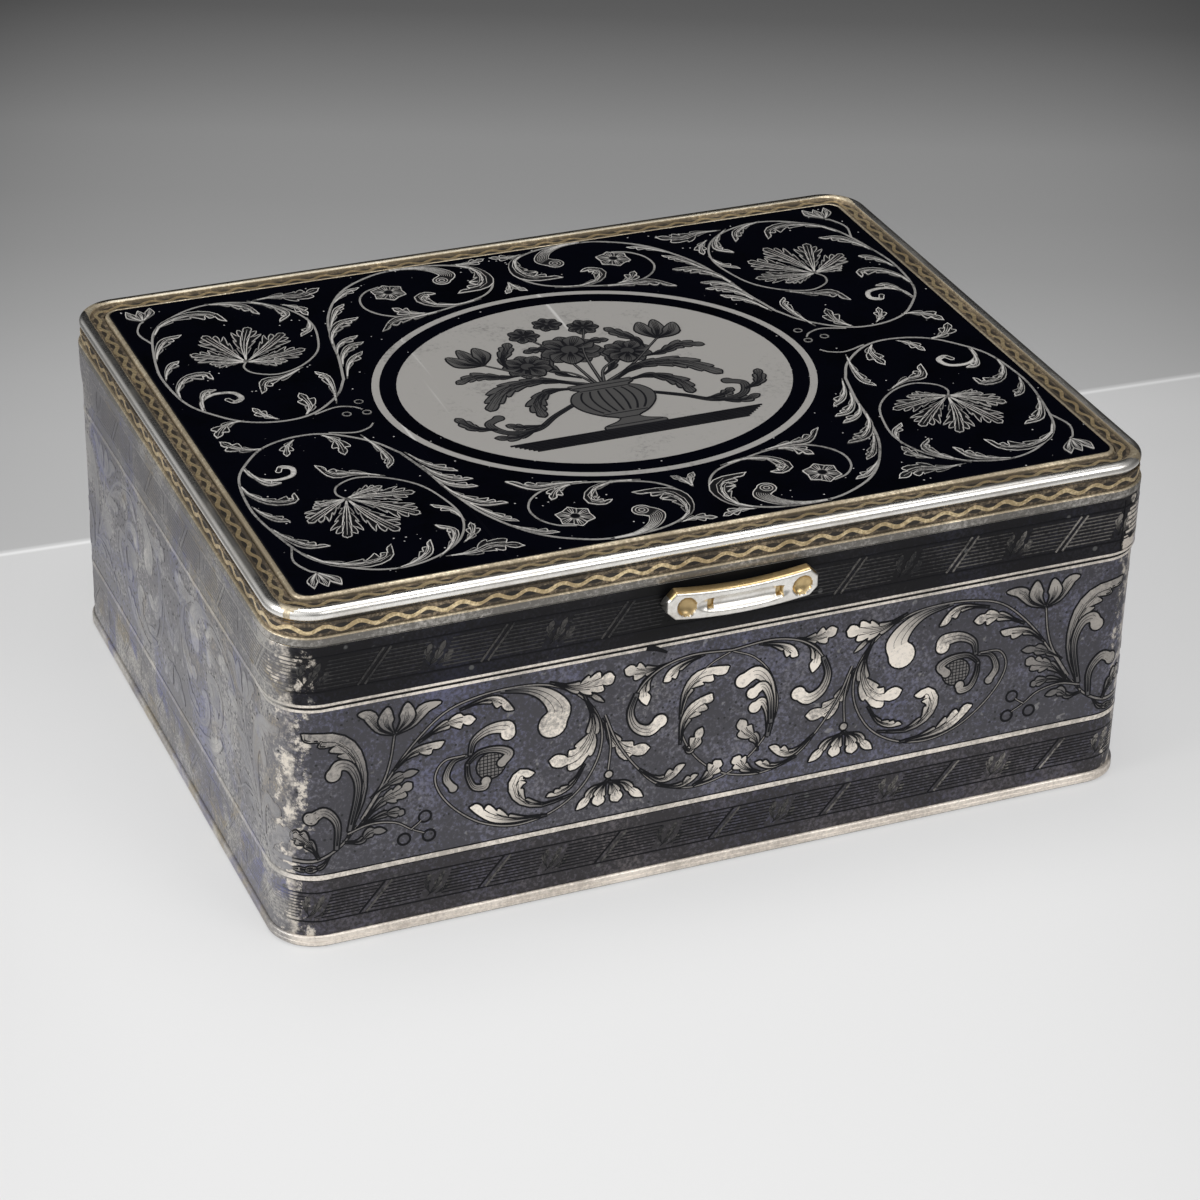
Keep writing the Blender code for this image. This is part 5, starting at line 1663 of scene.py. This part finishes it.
@dataclass
class HatchedBand:
    """Border of a twisted ribbon: hatched panels between slanted bars, with a sprig in the middle of each."""

    panel: WallPanel  # the wall
    foot: float  # lower edge, in millimetres above the table
    head: float  # upper edge
    units: int = 26  # number of panels all round
    lines: int = 8  # number of hatching lines
    slant: float = 2.6  # how far a bar leans along the wall
    end: float = 1000.0  # length from the front's middle past which the band stops, in millimetres
    tone: Tone = Tone.SILVER  # of the hatching
    fresh: float = 0.75  # how bright the band is where it is most worn
    bar_half: float = 0.35  # half the distance between the two lines of a bar
    margin: float = 0.55  # room between a bar and the hatching
    gap: float = 1.1  # half the room that the hatching leaves for the sprig
    wear_from: float = 4.0  # length along the wall at which the band starts to be fresher
    wear_span: float = 32.0  # length over which it becomes as fresh as it gets
    wear_gain: float = 2.9  # how much brighter it is there
    bar_width: float = 0.2  # of a bar's lines
    bar_height: float = 0.04  # of those lines
    bar_shine: float = 0.22  # their brightness, before wear
    hatch_widths: Point = (0.14, 0.1)  # of a hatching line's two ends
    hatch_height: float = 0.022  # of those lines
    hatch_shine: float = 0.11  # their brightness, before wear
    sprig_width: float = 0.42  # of a sprig's leaves
    sprig_shine: float = 0.2  # their brightness, before wear

    def draw_unit(self, art: Drawing, start: float, length: float) -> None:
        """One panel from a slanted bar to the next."""
        lean = self.slant / (self.head - self.foot)
        middle = (self.foot + self.head) / 2
        fresh = self.fresh + self.wear_gain * min(max((start - self.wear_from) / self.wear_span, 0.0), 1.0)
        for side, tone in ((-self.bar_half, self.tone), (self.bar_half, Tone.SILVER)):
            bar = np.array(
                [(start + side - self.slant / 2, self.foot), (start + side + self.slant / 2, self.head)])
            art.line(bar, self.bar_width, self.bar_width, self.bar_height, tone, self.bar_shine * fresh)
        for z in np.linspace(self.foot, self.head, self.lines + 2)[1:-1]:
            near = start + (z - middle) * lean + self.margin
            far = near + length - 2 * self.margin
            sprig = start + length / 2 + (z - middle) * lean * 0.5
            for begin, stop in ((near, sprig - self.gap), (sprig + self.gap, far)):
                path = np.array([(begin, z), (stop, z)])
                art.line(path, *self.hatch_widths, self.hatch_height, self.tone, self.hatch_shine * fresh)
        sprig = start + length / 2
        for spine in (
                [(-0.9, -1.3), (0.0, -0.4), (0.9, 1.3)], [(-0.5, -1.2), (-0.9, 0.1), (-0.5, 1.2)],
                [(-0.2, -1.2), (0.9, -0.7), (1.6, 0.2)]):
            leaf = [(sprig + x, middle + z) for x, z in spine]
            art.leaf(leaf, self.sprig_width, 3, shine=self.sprig_shine * fresh)

    def build(self, name: str, body: Body) -> None:
        """Lays the band on its wall."""
        whole = self.panel.plan.perimeter / MM
        length = whole / self.units
        art = Drawing(vein=0.08, dull=0.05, hatches=1, levels=3)
        for unit in range(self.units):
            self.draw_unit(art, (unit - self.units / 2) * length, length)
        shapes = [shape for shape in art.shapes if np.abs(shape.points[:, 0]).max() < self.end]
        piece = ornament(name, shapes, self.panel.put, self.panel.bends(), BAND_SILVER, ENGRAVED)
        present(piece, body, Slot.GREY_NIELLO)


def ribbon_tree() -> bpy.types.NodeTree:
    """Geometry nodes that run a flat ribbon along a path, straight or in waves.

    Returns:
        The tree, with inputs Amplitude, Waves, Sideways, Across, Upright, Step, Ragged and Material.
    """
    name = "Ribbon along path"
    if name in bpy.data.node_groups:
        return bpy.data.node_groups[name]
    tree = bpy.data.node_groups.new(name, "GeometryNodeTree")
    tree.interface.new_socket("Geometry", in_out="INPUT", socket_type="NodeSocketGeometry")
    for label in ("Amplitude", "Waves", "Sideways", "Across", "Upright", "Step", "Ragged"):
        tree.interface.new_socket(label, in_out="INPUT", socket_type="NodeSocketFloat")
    tree.interface.new_socket("Material", in_out="INPUT", socket_type="NodeSocketMaterial")
    tree.interface.new_socket("Geometry", in_out="OUTPUT", socket_type="NodeSocketGeometry")
    sketch = NodeSketch(tree)
    given = sketch.add("NodeGroupInput").outputs
    curve = sketch.add("GeometryNodeMeshToCurve", Mesh=given["Geometry"])
    even = sketch.add(
        "GeometryNodeResampleCurve", {"mode": "LENGTH"}, Curve=curve.outputs[0], Length=given["Step"])
    share = sketch.add("GeometryNodeSplineParameter").outputs["Factor"]
    turn = sketch.times(sketch.times(share, given["Waves"]), 2 * math.pi)
    swing = sketch.times(sketch.math("SINE", turn), given["Amplitude"])
    tangent = sketch.add("GeometryNodeInputTangent").outputs[0]
    aside = sketch.vector("CROSS_PRODUCT", tangent, in_1=(0.0, 0.0, 1.0))
    way = sketch.add(
        "ShaderNodeMix", {"data_type": "VECTOR"}, in_0=given["Sideways"], in_4=(0.0, 0.0, 1.0),
        in_5=aside.outputs[0])
    offset = sketch.vector("SCALE", way.outputs[1], Scale=swing)
    waved = sketch.add("GeometryNodeSetPosition", Geometry=even.outputs[0], Offset=offset.outputs[0])
    chips = sketch.add("ShaderNodeTexNoise", Scale=900.0, Detail=2.0).outputs[0]
    girth = sketch.plus(1.0, sketch.times(sketch.minus(chips, 0.5), given["Ragged"]))
    worn = sketch.add("GeometryNodeSetCurveRadius", Curve=waved.outputs[0], Radius=girth)
    upright = sketch.add("GeometryNodeSetCurveNormal", {"mode": "Z_UP"}, Curve=worn.outputs[0])
    profile = sketch.add(
        "GeometryNodeCurvePrimitiveQuadrilateral", Width=given["Across"], Height=given["Upright"])
    radius = sketch.add("GeometryNodeInputRadius").outputs[0]
    body = sketch.add(
        "GeometryNodeCurveToMesh", Curve=upright.outputs[0], Profile_Curve=profile.outputs[0], Fill_Caps=True,
        Scale=radius)
    whole = sketch.add("GeometryNodeRealizeInstances", Geometry=body.outputs[0])
    painted = sketch.add("GeometryNodeSetMaterial", Geometry=whole.outputs[0], Material=given["Material"])
    sketch.add("NodeGroupOutput", Geometry=painted.outputs[0])
    return tree


@dataclass
class Ribbon:
    """A flat ribbon laid along a path."""

    finish: MetalFinish  # of its metal
    across: float  # horizontal size of its section
    upright: float  # vertical size of its section
    amplitude: float = 0.0  # of its waves
    waves: int = 0  # number of waves along the path
    sideways: bool = False  # whether the waves swing level instead of up and down
    step: float = 0.5 * MM  # length of its pieces
    ragged: float = 0.0  # how unevenly its edges are worn

    def build(self, name: str, path: Array, closed: bool) -> Piece:
        """Runs the ribbon along a path.

        Args:
            name: of the object.
            path: points in metres.
            closed: whether the path is a ring.

        Returns:
            The ribbon as a plain mesh.
        """
        count = len(path)
        edges = [(i, (i + 1) % count) for i in range(count if closed else count - 1)]
        mesh = bpy.data.meshes.new(name)
        mesh.from_pydata(path.tolist(), edges, [])
        made = linked(name, mesh)
        tree = ribbon_tree()
        modifier = made.modifiers.new("ribbon", "NODES")
        modifier.node_group = tree
        values = {
            "Amplitude": self.amplitude, "Waves": float(self.waves), "Sideways": float(self.sideways),
            "Across": self.across, "Upright": self.upright, "Step": self.step, "Ragged": self.ragged,
            "Material": self.finish.material()}
        for item in tree.interface.items_tree:
            if item.in_out == "INPUT" and item.name in values:
                modifier[item.identifier] = values[item.name]
        baked(made)
        tidy_normals(made.data)
        return made


@dataclass
class WallLines:
    """Silver and dark lines that edge the bands of the walls."""

    body: WallPanel  # the body's wall
    lid: WallPanel  # the lid's band
    lid_end: float  # length from the front's middle at which the lid's band ends, in metres

    def build(self) -> None:
        """All lines, each as a ribbon."""
        plan = self.body.plan
        for name, low, high, finish, deep in (
                ("band_ground", 1.15, 7.5, FOOT_NIELLO, 0.02),
                ("foot_line_edge", 7.36, 8.1, ENGRAVED, 0.05),
                ("foot_line", 7.48, 7.98, LINE_SILVER, 0.1),
                ("mouth_line", 25.92, 26.2, LINE_SILVER, 0.1),
                ("band_foot_line", 2.72, 2.88, ENGRAVED, 0.06),
                ("band_head_line", 5.95, 6.1, ENGRAVED, 0.06)):
            ragged = 0.4 if finish is LINE_SILVER else 0.0
            path = plan.ring((low + high) / 2 * MM, 0.0)
            ribbon = Ribbon(finish, deep * MM, (high - low) * MM, ragged=ragged)
            present(ribbon.build(name, path, True), Body.BOX, finish.slot)
        for name, low, high, finish in (
                ("lid_mouth_line", 26.62, 26.86, LINE_SILVER),
                ("lid_band_foot_line", 28.1, 28.24, ENGRAVED),
                ("lid_band_head_line", 31.75, 31.88, ENGRAVED)):
            path = plan.run((low + high) / 2 * MM, self.lid.out, self.lid_end)
            ribbon = Ribbon(finish, 0.08 * MM, (high - low) * MM)
            present(ribbon.build(name, path, False), Body.LID, finish.slot)
        shade = Ribbon(ENGRAVED, 0.06 * MM, 0.16 * MM)
        path = plan.run(26.3 * MM, 0.0, self.lid_end)
        present(shade.build("mouth_shade", path, False), Body.BOX, Slot.BLACK_NIELLO)


@dataclass
class WearMarks:
    """Single marks of use on the front: a nick under the mouth and the rubbed joint of the lid's band."""

    body: WallPanel  # the body's wall
    lid: WallPanel  # the lid's band
    joint: float = 41.9  # length along the wall of the upright joint in the lid's band, in millimetres

    def build(self) -> None:
        """Lays the marks on their walls."""
        nick = Drawing()
        nick.line(smooth_path([(-8.9, 26.2), (-7.9, 25.85), (-6.8, 25.25)], 3), 0.75, 0.25, 0.085)
        piece = ornament("mouth_nick", nick.shapes, self.body.put, (), SILVER, ENGRAVED)
        present(piece, Body.BOX, Slot.BLACK_NIELLO)
        seam = Drawing()
        seam.line(np.array([(self.joint, 26.95), (self.joint + 0.05, 32.6)]), 0.12, 0.12, 0.03)
        for start, end, low, high in (
                (0.3, 3.2, 27.0, 27.5), (0.2, 2.2, 27.5, 27.9), (0.3, 1.2, 27.9, 28.4),
                (2.4, 3.6, 27.5, 27.75), (0.5, 2.9, 28.7, 28.95), (0.9, 3.3, 29.15, 29.45),
                (0.4, 3.5, 29.65, 29.95), (0.7, 3.1, 30.15, 30.5), (0.5, 3.6, 30.7, 31.0),
                (0.8, 3.2, 31.2, 31.45)):
            middle = (low + high) / 2
            patch = np.array(
                [(start, low), (end, low), (end - 0.15, middle), (end - 0.4, high), (start, high)])
            seam.shapes.append(Shape(patch + (self.joint, 0.0), Tone.SILVER, 0.028, np.ones(len(patch))))
        piece = ornament("band_joint", seam.shapes, self.lid.put, self.lid.bends(), FOOT_SILVER, ENGRAVED)
        present(piece, Body.LID, Slot.SILVER)


@dataclass
class GiltStrips:
    """Dark strips in the lid moulding's grooves with a gilt wave along each."""

    plan: Plan  # outline of the body's wall
    pitch: float = 3.3 * MM  # length of a wave
    swing: float = 0.28 * MM  # half the height of a wave
    width: float = 0.40 * MM  # of the gilt ribbon
    proud: float = 0.04 * MM  # how far the ribbon stands out of its strip
    flat: float = 1.36 * MM  # width of the inner strip
    counter: float = 0.6  # size of the dark wave under the gilt one, as a share of it
    step: float = 0.25 * MM  # length of a wave's pieces
    ragged: float = 0.9  # how unevenly the waves are worn

    def build(self) -> None:
        """Both strips, each with a gilt wave over a dark one that swings the other way."""
        waves = round(self.plan.perimeter / self.pitch)
        for node, sideways in (("outer_gilt_wire", False), ("inner_gilt_wire", True)):
            low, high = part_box(node)
            out = high.x - self.plan.half_width
            if sideways:
                inner = out - self.flat
                middle_out, middle_z = (out + inner) / 2, high.z
                across, upright = self.width, 2 * self.proud
            else:
                inner = out - STRIP_DEEP
                middle_out, middle_z = out, (low.z + high.z) / 2
                across, upright = 2 * self.proud, self.width
            strip = swept_ring(f"{node}_ground", self.plan, oblong(inner, out, low.z, high.z), OXIDE)
            present(strip, Body.LID, Slot.GILT, node)
            layers = (("shade", STRIP_SHADE, -self.counter, self.counter), ("wave", WORN_GILT, 1.0, 1.0))
            for label, finish, swing, part in layers:
                girth = [size if size == self.width else size * part for size in (across, upright)]
                ribbon = Ribbon(finish, *girth, swing * self.swing, waves, sideways, self.step, self.ragged)
                wave = ribbon.build(f"{node}_{label}", self.plan.ring(middle_z, middle_out), True)
                present(wave, Body.LID, Slot.GILT)


@dataclass
class Thumbpiece:
    """Cast bar on the lid's front with a scoop, two dimples and two slots."""

    corner: float = 0.9 * MM  # size of the chamfers at its ends
    bow: float = 0.5 * MM  # how far its edges bend down in the middle
    rounding: float = 0.35 * MM  # radius of the front's edges
    lip: float = 1.1 * MM  # depth of its level top, behind which the back falls away
    drop: float = 1.4 * MM  # how far the back falls
    # half length, half height and depth of the long hollow
    scoop: tuple[float, float, float] = (4.9 * MM, 0.85 * MM, 0.5 * MM)
    dimple: Point = (1.02 * MM, 0.55 * MM)  # radius and depth of the round hollows
    dimples: Point = (-5.8 * MM, 6.1 * MM)  # their places along the bar
    # half width, half height and depth of the slots
    slot: tuple[float, float, float] = (0.34 * MM, 0.6 * MM, 0.6 * MM)
    slots: Point = (-3.3 * MM, 3.8 * MM)  # their places along the bar
    sections: int = 150  # number of sections along the bar
    points: int = 30  # number of points across its front

    def edges(self, x: float) -> tuple[float, float]:
        """Heights of the lower and the upper edge at a place along the bar."""
        low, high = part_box("thumbpiece")
        straight = high.x - self.corner
        bend = self.bow * min(abs(x) / straight, 1.0) ** 2
        chamfer = max(abs(x) - straight, 0.0)
        return low.z + bend + chamfer, high.z - self.bow + bend - chamfer

    def gilt_hollow(self, x: float, z: float) -> float:
        """Depth of the dimples and slots at a place on the front, with heights from the bar's middle."""
        radius, deep = self.dimple
        reach = min(math.hypot(x - place, z) for place in self.dimples) / radius
        dimple = deep * math.sqrt(max(1 - reach**2, 0.0))
        half_wide, half_tall, deep = self.slot
        across = min(abs(x - place) for place in self.slots)
        reach = max(across / half_wide, abs(z) / half_tall)
        return max(dimple, deep * min(max(3 * (1 - reach), 0.0), 1.0))

    def scooped(self, x: float, z: float) -> float:
        """Depth of the long hollow at a place on the front, with heights from the bar's middle."""
        long, tall, deep = self.scoop
        return deep * max(1 - (x / long) ** 4 - (z / tall) ** 2, 0.0)

    def section(self, x: float) -> Array:
        """Closed section of the bar at a place along it: the front from below, then the back."""
        low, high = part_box("thumbpiece")
        lower, upper = self.edges(x)
        middle = (low.z + high.z) / 2 - self.bow * (0.5 - (x / high.x) ** 2)
        rows = [(x, high.y, lower)]
        for turn in np.linspace(0, math.pi, self.points):
            z = (lower + upper) / 2 - (upper - lower) / 2 * math.cos(turn)
            inside = max(min(z - lower, upper - z, high.x - abs(x), self.rounding), 0.0)
            edge = self.rounding - math.sqrt(self.rounding**2 - (self.rounding - inside) ** 2)
            hollow = max(self.gilt_hollow(x, z - middle), self.scooped(x, z - middle))
            rows.append((x, low.y + edge + hollow, z))
        return np.array([*rows, (x, low.y + self.lip, upper), (x, high.y, upper - self.drop)])

    def build(self) -> None:
        """The bar with its hollows, silver in front and gilt elsewhere."""
        low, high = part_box("thumbpiece")
        turns = np.linspace(-1, 1, self.sections)
        loops = [self.section(x) for x in high.x * (turns + np.sin(math.pi * turns) * 0.06)]
        bar = skinned("thumb_bar", loops, False, (BRIGHT_SILVER, GILT, PAINTED_SHADE_SILVER), 50)
        middle_z = (low.z + high.z) / 2

        def choose(middle: Vector, normal: Vector) -> int:
            """Gilding is left on top and in the dimples and slots, and the back is painted dark as shade."""
            # the back of the bar is painted dark as shade
            if middle.y > low.y + self.lip:
                return 2
            rise = middle.z - middle_z + self.bow * (0.5 - (middle.x / high.x) ** 2)
            on_top = normal.z > 0.5 and rise > self.scoop[1]
            return 1 if on_top or self.gilt_hollow(middle.x, rise) > 0.03 * MM else 0

        paint_faces(bar, choose)
        present(bar, Body.LID, Slot.GILT, "thumbpiece")


@dataclass(frozen=True)
class Hinge:
    """Barrels, pin, plugs and bearers of the hidden hinge, kept as packed and dressed."""

    # the finish of each piece by a word in its name
    finishes: tuple = (
        ("knuckle", GILT_INSIDE),
        ("bearer", GILT_INSIDE),
        ("plug", SILVER),
        ("hinge_pin", STEEL))

    def dress(self) -> None:
        """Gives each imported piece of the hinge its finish."""
        for node in bpy.data.objects:
            for word, finish in self.finishes:
                if word in node.name:
                    node.data.materials.clear()
                    node.data.materials.append(finish.material())
                    LOG.info("%s is dressed as %s", node.name, finish.name)


@dataclass(frozen=True)
class Studio:
    """Camera, lamps, world and floor of the photograph."""

    place: tuple[float, float, float] = (-0.12895, -0.30353, 0.20036)  # of the camera
    # direction from the object's middle of view to the camera
    back: tuple[float, float, float] = (-0.34149, -0.79679, 0.49851)
    lamp_aim: tuple[float, float, float] = (0, 0, 0.02)  # what the lamps face
    roll: float = 1.509  # degrees that the camera's right side tips up
    lens: float = 108.83  # focal length on a sensor of 36 mm
    falloff: float = 0.1245  # distance from the line of sight at which the floor's painted falloff of light would reach black
    even: float = 0.6  # share of the floor's brightness that glows by itself, so that the box casts little shadow on it
    table_edge: Point = (0.043, 0.0475)  # slope and distance of the table's far edge
    edge_shade: float = 0.74  # brightness beyond that edge, as a share
    edge_glint: float = 1.3  # brightness of the painted glint along that edge, as a share
    floor_dark: float = 0.3  # least brightness of the painted falloff far aside, as a share
    floor_from: Point = (-0.12, 0.26)  # distances behind the middle at which the floor's painted falloff starts and ends
    floor_half: float = 1.6  # half the floor's width
    floor_gap: float = 0.05 * MM  # room between the floor and the box

    def build_camera(self) -> None:
        """Camera at the photograph's viewpoint."""
        data = bpy.data.cameras.new("photo_camera")
        data.lens = self.lens
        data.sensor_width = 36.0
        data.clip_start = 0.01
        back = Vector(self.back).normalized()
        right = Vector((0, 0, 1)).cross(back).normalized()
        up = back.cross(right)
        tip = math.radians(self.roll)
        tipped = right * math.cos(tip) + up * math.sin(tip)
        above = back.cross(tipped)
        camera = linked("photo_camera", data)
        turn = Matrix((tipped, above, back)).transposed().to_4x4()
        camera.matrix_world = Matrix.Translation(self.place) @ turn
        bpy.context.scene.camera = camera

    def build_lamp(self, name: str, place: tuple[float, float, float], size: Point, watts: float) -> None:
        """A soft rectangular lamp that faces the box.

        Args:
            name: of the lamp.
            place: its middle.
            size: width and height.
            watts: its power.
        """
        data = bpy.data.lights.new(name, "AREA")
        data.shape = "RECTANGLE"
        data.size, data.size_y = size
        data.energy = watts
        lamp = linked(name, data)
        way = Vector(place) - Vector(self.lamp_aim)
        lamp.matrix_world = Matrix.Translation(place) @ way.to_track_quat("Z", "Y").to_matrix().to_4x4()

    def build_world(self) -> None:
        """Grey surroundings, brighter above and on the left, and dark behind the box."""
        world = bpy.data.worlds.new("studio")
        world.use_nodes = True
        sketch = NodeSketch(world.node_tree)
        shade = world.node_tree.nodes["Background"]
        way = sketch.add("ShaderNodeTexCoord").outputs["Generated"]
        x, y, z = sketch.axes(way)
        height = sketch.ramp(z, 0.15, 0.95, 0.12, 0.45)
        front = sketch.ramp(y, -0.8, 0.55, 1.4, 0.04)
        left = sketch.ramp(x, -0.6, -0.15, 0.5, 0.0)
        level = sketch.plus(sketch.times(height, front), left)
        grey = sketch.add("ShaderNodeCombineColor", Red=level, Green=level, Blue=level)
        sketch.feed(shade.inputs["Color"], grey.outputs[0])
        bpy.context.scene.world = world

    def build_floor(self) -> None:
        """Pale table whose far edge lies behind the box, and dark grey beyond it, with a painted falloff of
        light towards the back and sides, a painted glint along the edge, and a share that glows by itself so
        that the box casts little shadow.
        """
        corners = oblong(-self.floor_half, self.floor_half, -self.floor_half, self.floor_half)
        floor = mesh_object("floor", [(x, y, -self.floor_gap) for x, y in corners], [[0, 1, 2, 3]], [])
        made = bpy.data.materials.new("pale_floor")
        made.use_nodes = True
        sketch = NodeSketch(made.node_tree)
        shader = made.node_tree.nodes["Principled BSDF"]
        place = sketch.add("ShaderNodeTexCoord").outputs["Object"]
        ahead = Vector((-self.back[0], -self.back[1], 0)).normalized()
        depth = sketch.vector("DOT_PRODUCT", place, in_1=tuple(ahead))
        near, far = self.floor_from
        fade = sketch.add("ShaderNodeMapRange", Value=depth.outputs["Value"], From_Min=near, From_Max=far)
        ramp = sketch.add("ShaderNodeValToRGB", Fac=fade.outputs[0])
        # brightness of the floor along the way back, a painted falloff of light
        stops = [
            (0.0, 0.81), (0.22, 0.78), (0.31, 0.745), (0.40, 0.685), (0.46, 0.645), (0.50, 0.59),
            (0.55, 0.495), (0.60, 0.415), (0.65, 0.37), (0.71, 0.345), (0.76, 0.265), (0.84, 0.15),
            (1.0, 0.05)]
        elements = ramp.color_ramp.elements
        while len(elements) < len(stops):
            elements.new(0.5)
        for element, (at, level) in zip(elements, stops):
            element.position = at
            element.color = (level, level, level, 1.0)
        aside = Vector((ahead.y, -ahead.x, 0))
        lateral = sketch.vector("DOT_PRODUCT", place, in_1=tuple(aside))
        offset = sketch.minus(lateral.outputs["Value"], Vector(self.place).dot(aside))
        share = sketch.math("DIVIDE", sketch.math("ABSOLUTE", offset), self.falloff)
        shade = sketch.math("MAXIMUM", sketch.minus(1.0, sketch.math("POWER", share, 4.0)), self.floor_dark)
        slope, edge_y = self.table_edge
        behind = sketch.vector("DOT_PRODUCT", place, in_1=(slope, 1.0, 0.0))
        past = sketch.minus(behind.outputs["Value"], edge_y)
        shade = sketch.times(shade, sketch.ramp(past, -0.3 * MM, 0.3 * MM, 1.0, self.edge_shade))
        glint = sketch.ramp(sketch.math("ABSOLUTE", past), 0.2 * MM, 0.9 * MM, self.edge_glint, 1.0)
        shade = sketch.times(shade, glint)
        tone = sketch.vector("SCALE", ramp.outputs["Color"], Scale=shade)
        # part of the floor glows by itself so that the box casts little shadow on it
        for socket, part in (("Base Color", 1.0 - self.even), ("Emission Color", self.even)):
            scaled = sketch.vector("SCALE", tone.outputs[0], Scale=part)
            sketch.feed(shader.inputs[socket], scaled.outputs[0])
        shader.inputs["Emission Strength"].default_value = 1.0
        shader.inputs["Roughness"].default_value = 0.5
        shader.inputs["Specular IOR Level"].default_value = 0.2
        floor.data.materials.append(made)

    def build(self) -> None:
        """The whole studio."""
        bpy.context.scene.view_settings.view_transform = "Standard"
        self.build_camera()
        self.build_world()
        self.build_floor()
        for name, place, size, watts in (
                ("overhead_softbox", (0.05, 0.02, 0.70), (0.55, 0.45), 2.4),
                ("left_softbox", (-0.62, -0.05, 0.34), (0.35, 0.45), 2.6),
                ("front_right_softbox", (0.35, -0.62, 0.40), (0.40, 0.35), 1.5)):
            self.build_lamp(name, place, size, watts)


def main() -> None:
    """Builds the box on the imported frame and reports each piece."""
    logging.basicConfig(level=logging.INFO, format="%(relativeCreated)6.0f ms  %(message)s")
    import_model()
    low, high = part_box("body_wall")
    plan = Plan(high.x + WALL_OUT, high.y + WALL_OUT, CORNER_RADIUS + WALL_OUT)
    band_low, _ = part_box("lid_skirt")
    Studio().build()
    box = BoxShell(plan, band_low.z - MOUTH_GAP, low.z, high.z)
    box.build()
    lid = LidShell(plan, box)
    lid.build()
    wall, band = WallPanel(plan), WallPanel(plan, lid.band_face())
    lid_end = plan.flat_x + plan.arc + plan.flat_y + box.mitre(band_low.z) - BAND_END_GAP
    GiltStrips(plan).build()
    Thumbpiece().build()
    Hinge().dress()
    LidOrnament().build()
    Frieze(wall).build()
    WallLines(wall, band, lid_end).build()
    WearMarks(wall, band).build()
    HatchedBand(wall, 2.9, 5.95, tone=Tone.LINE, fresh=1.3).build("body_band", Body.BOX)
    HatchedBand(band, 28.25, 31.75, end=lid_end / MM).build("lid_band_ornament", Body.LID)


if __name__ == "__main__":
    main()
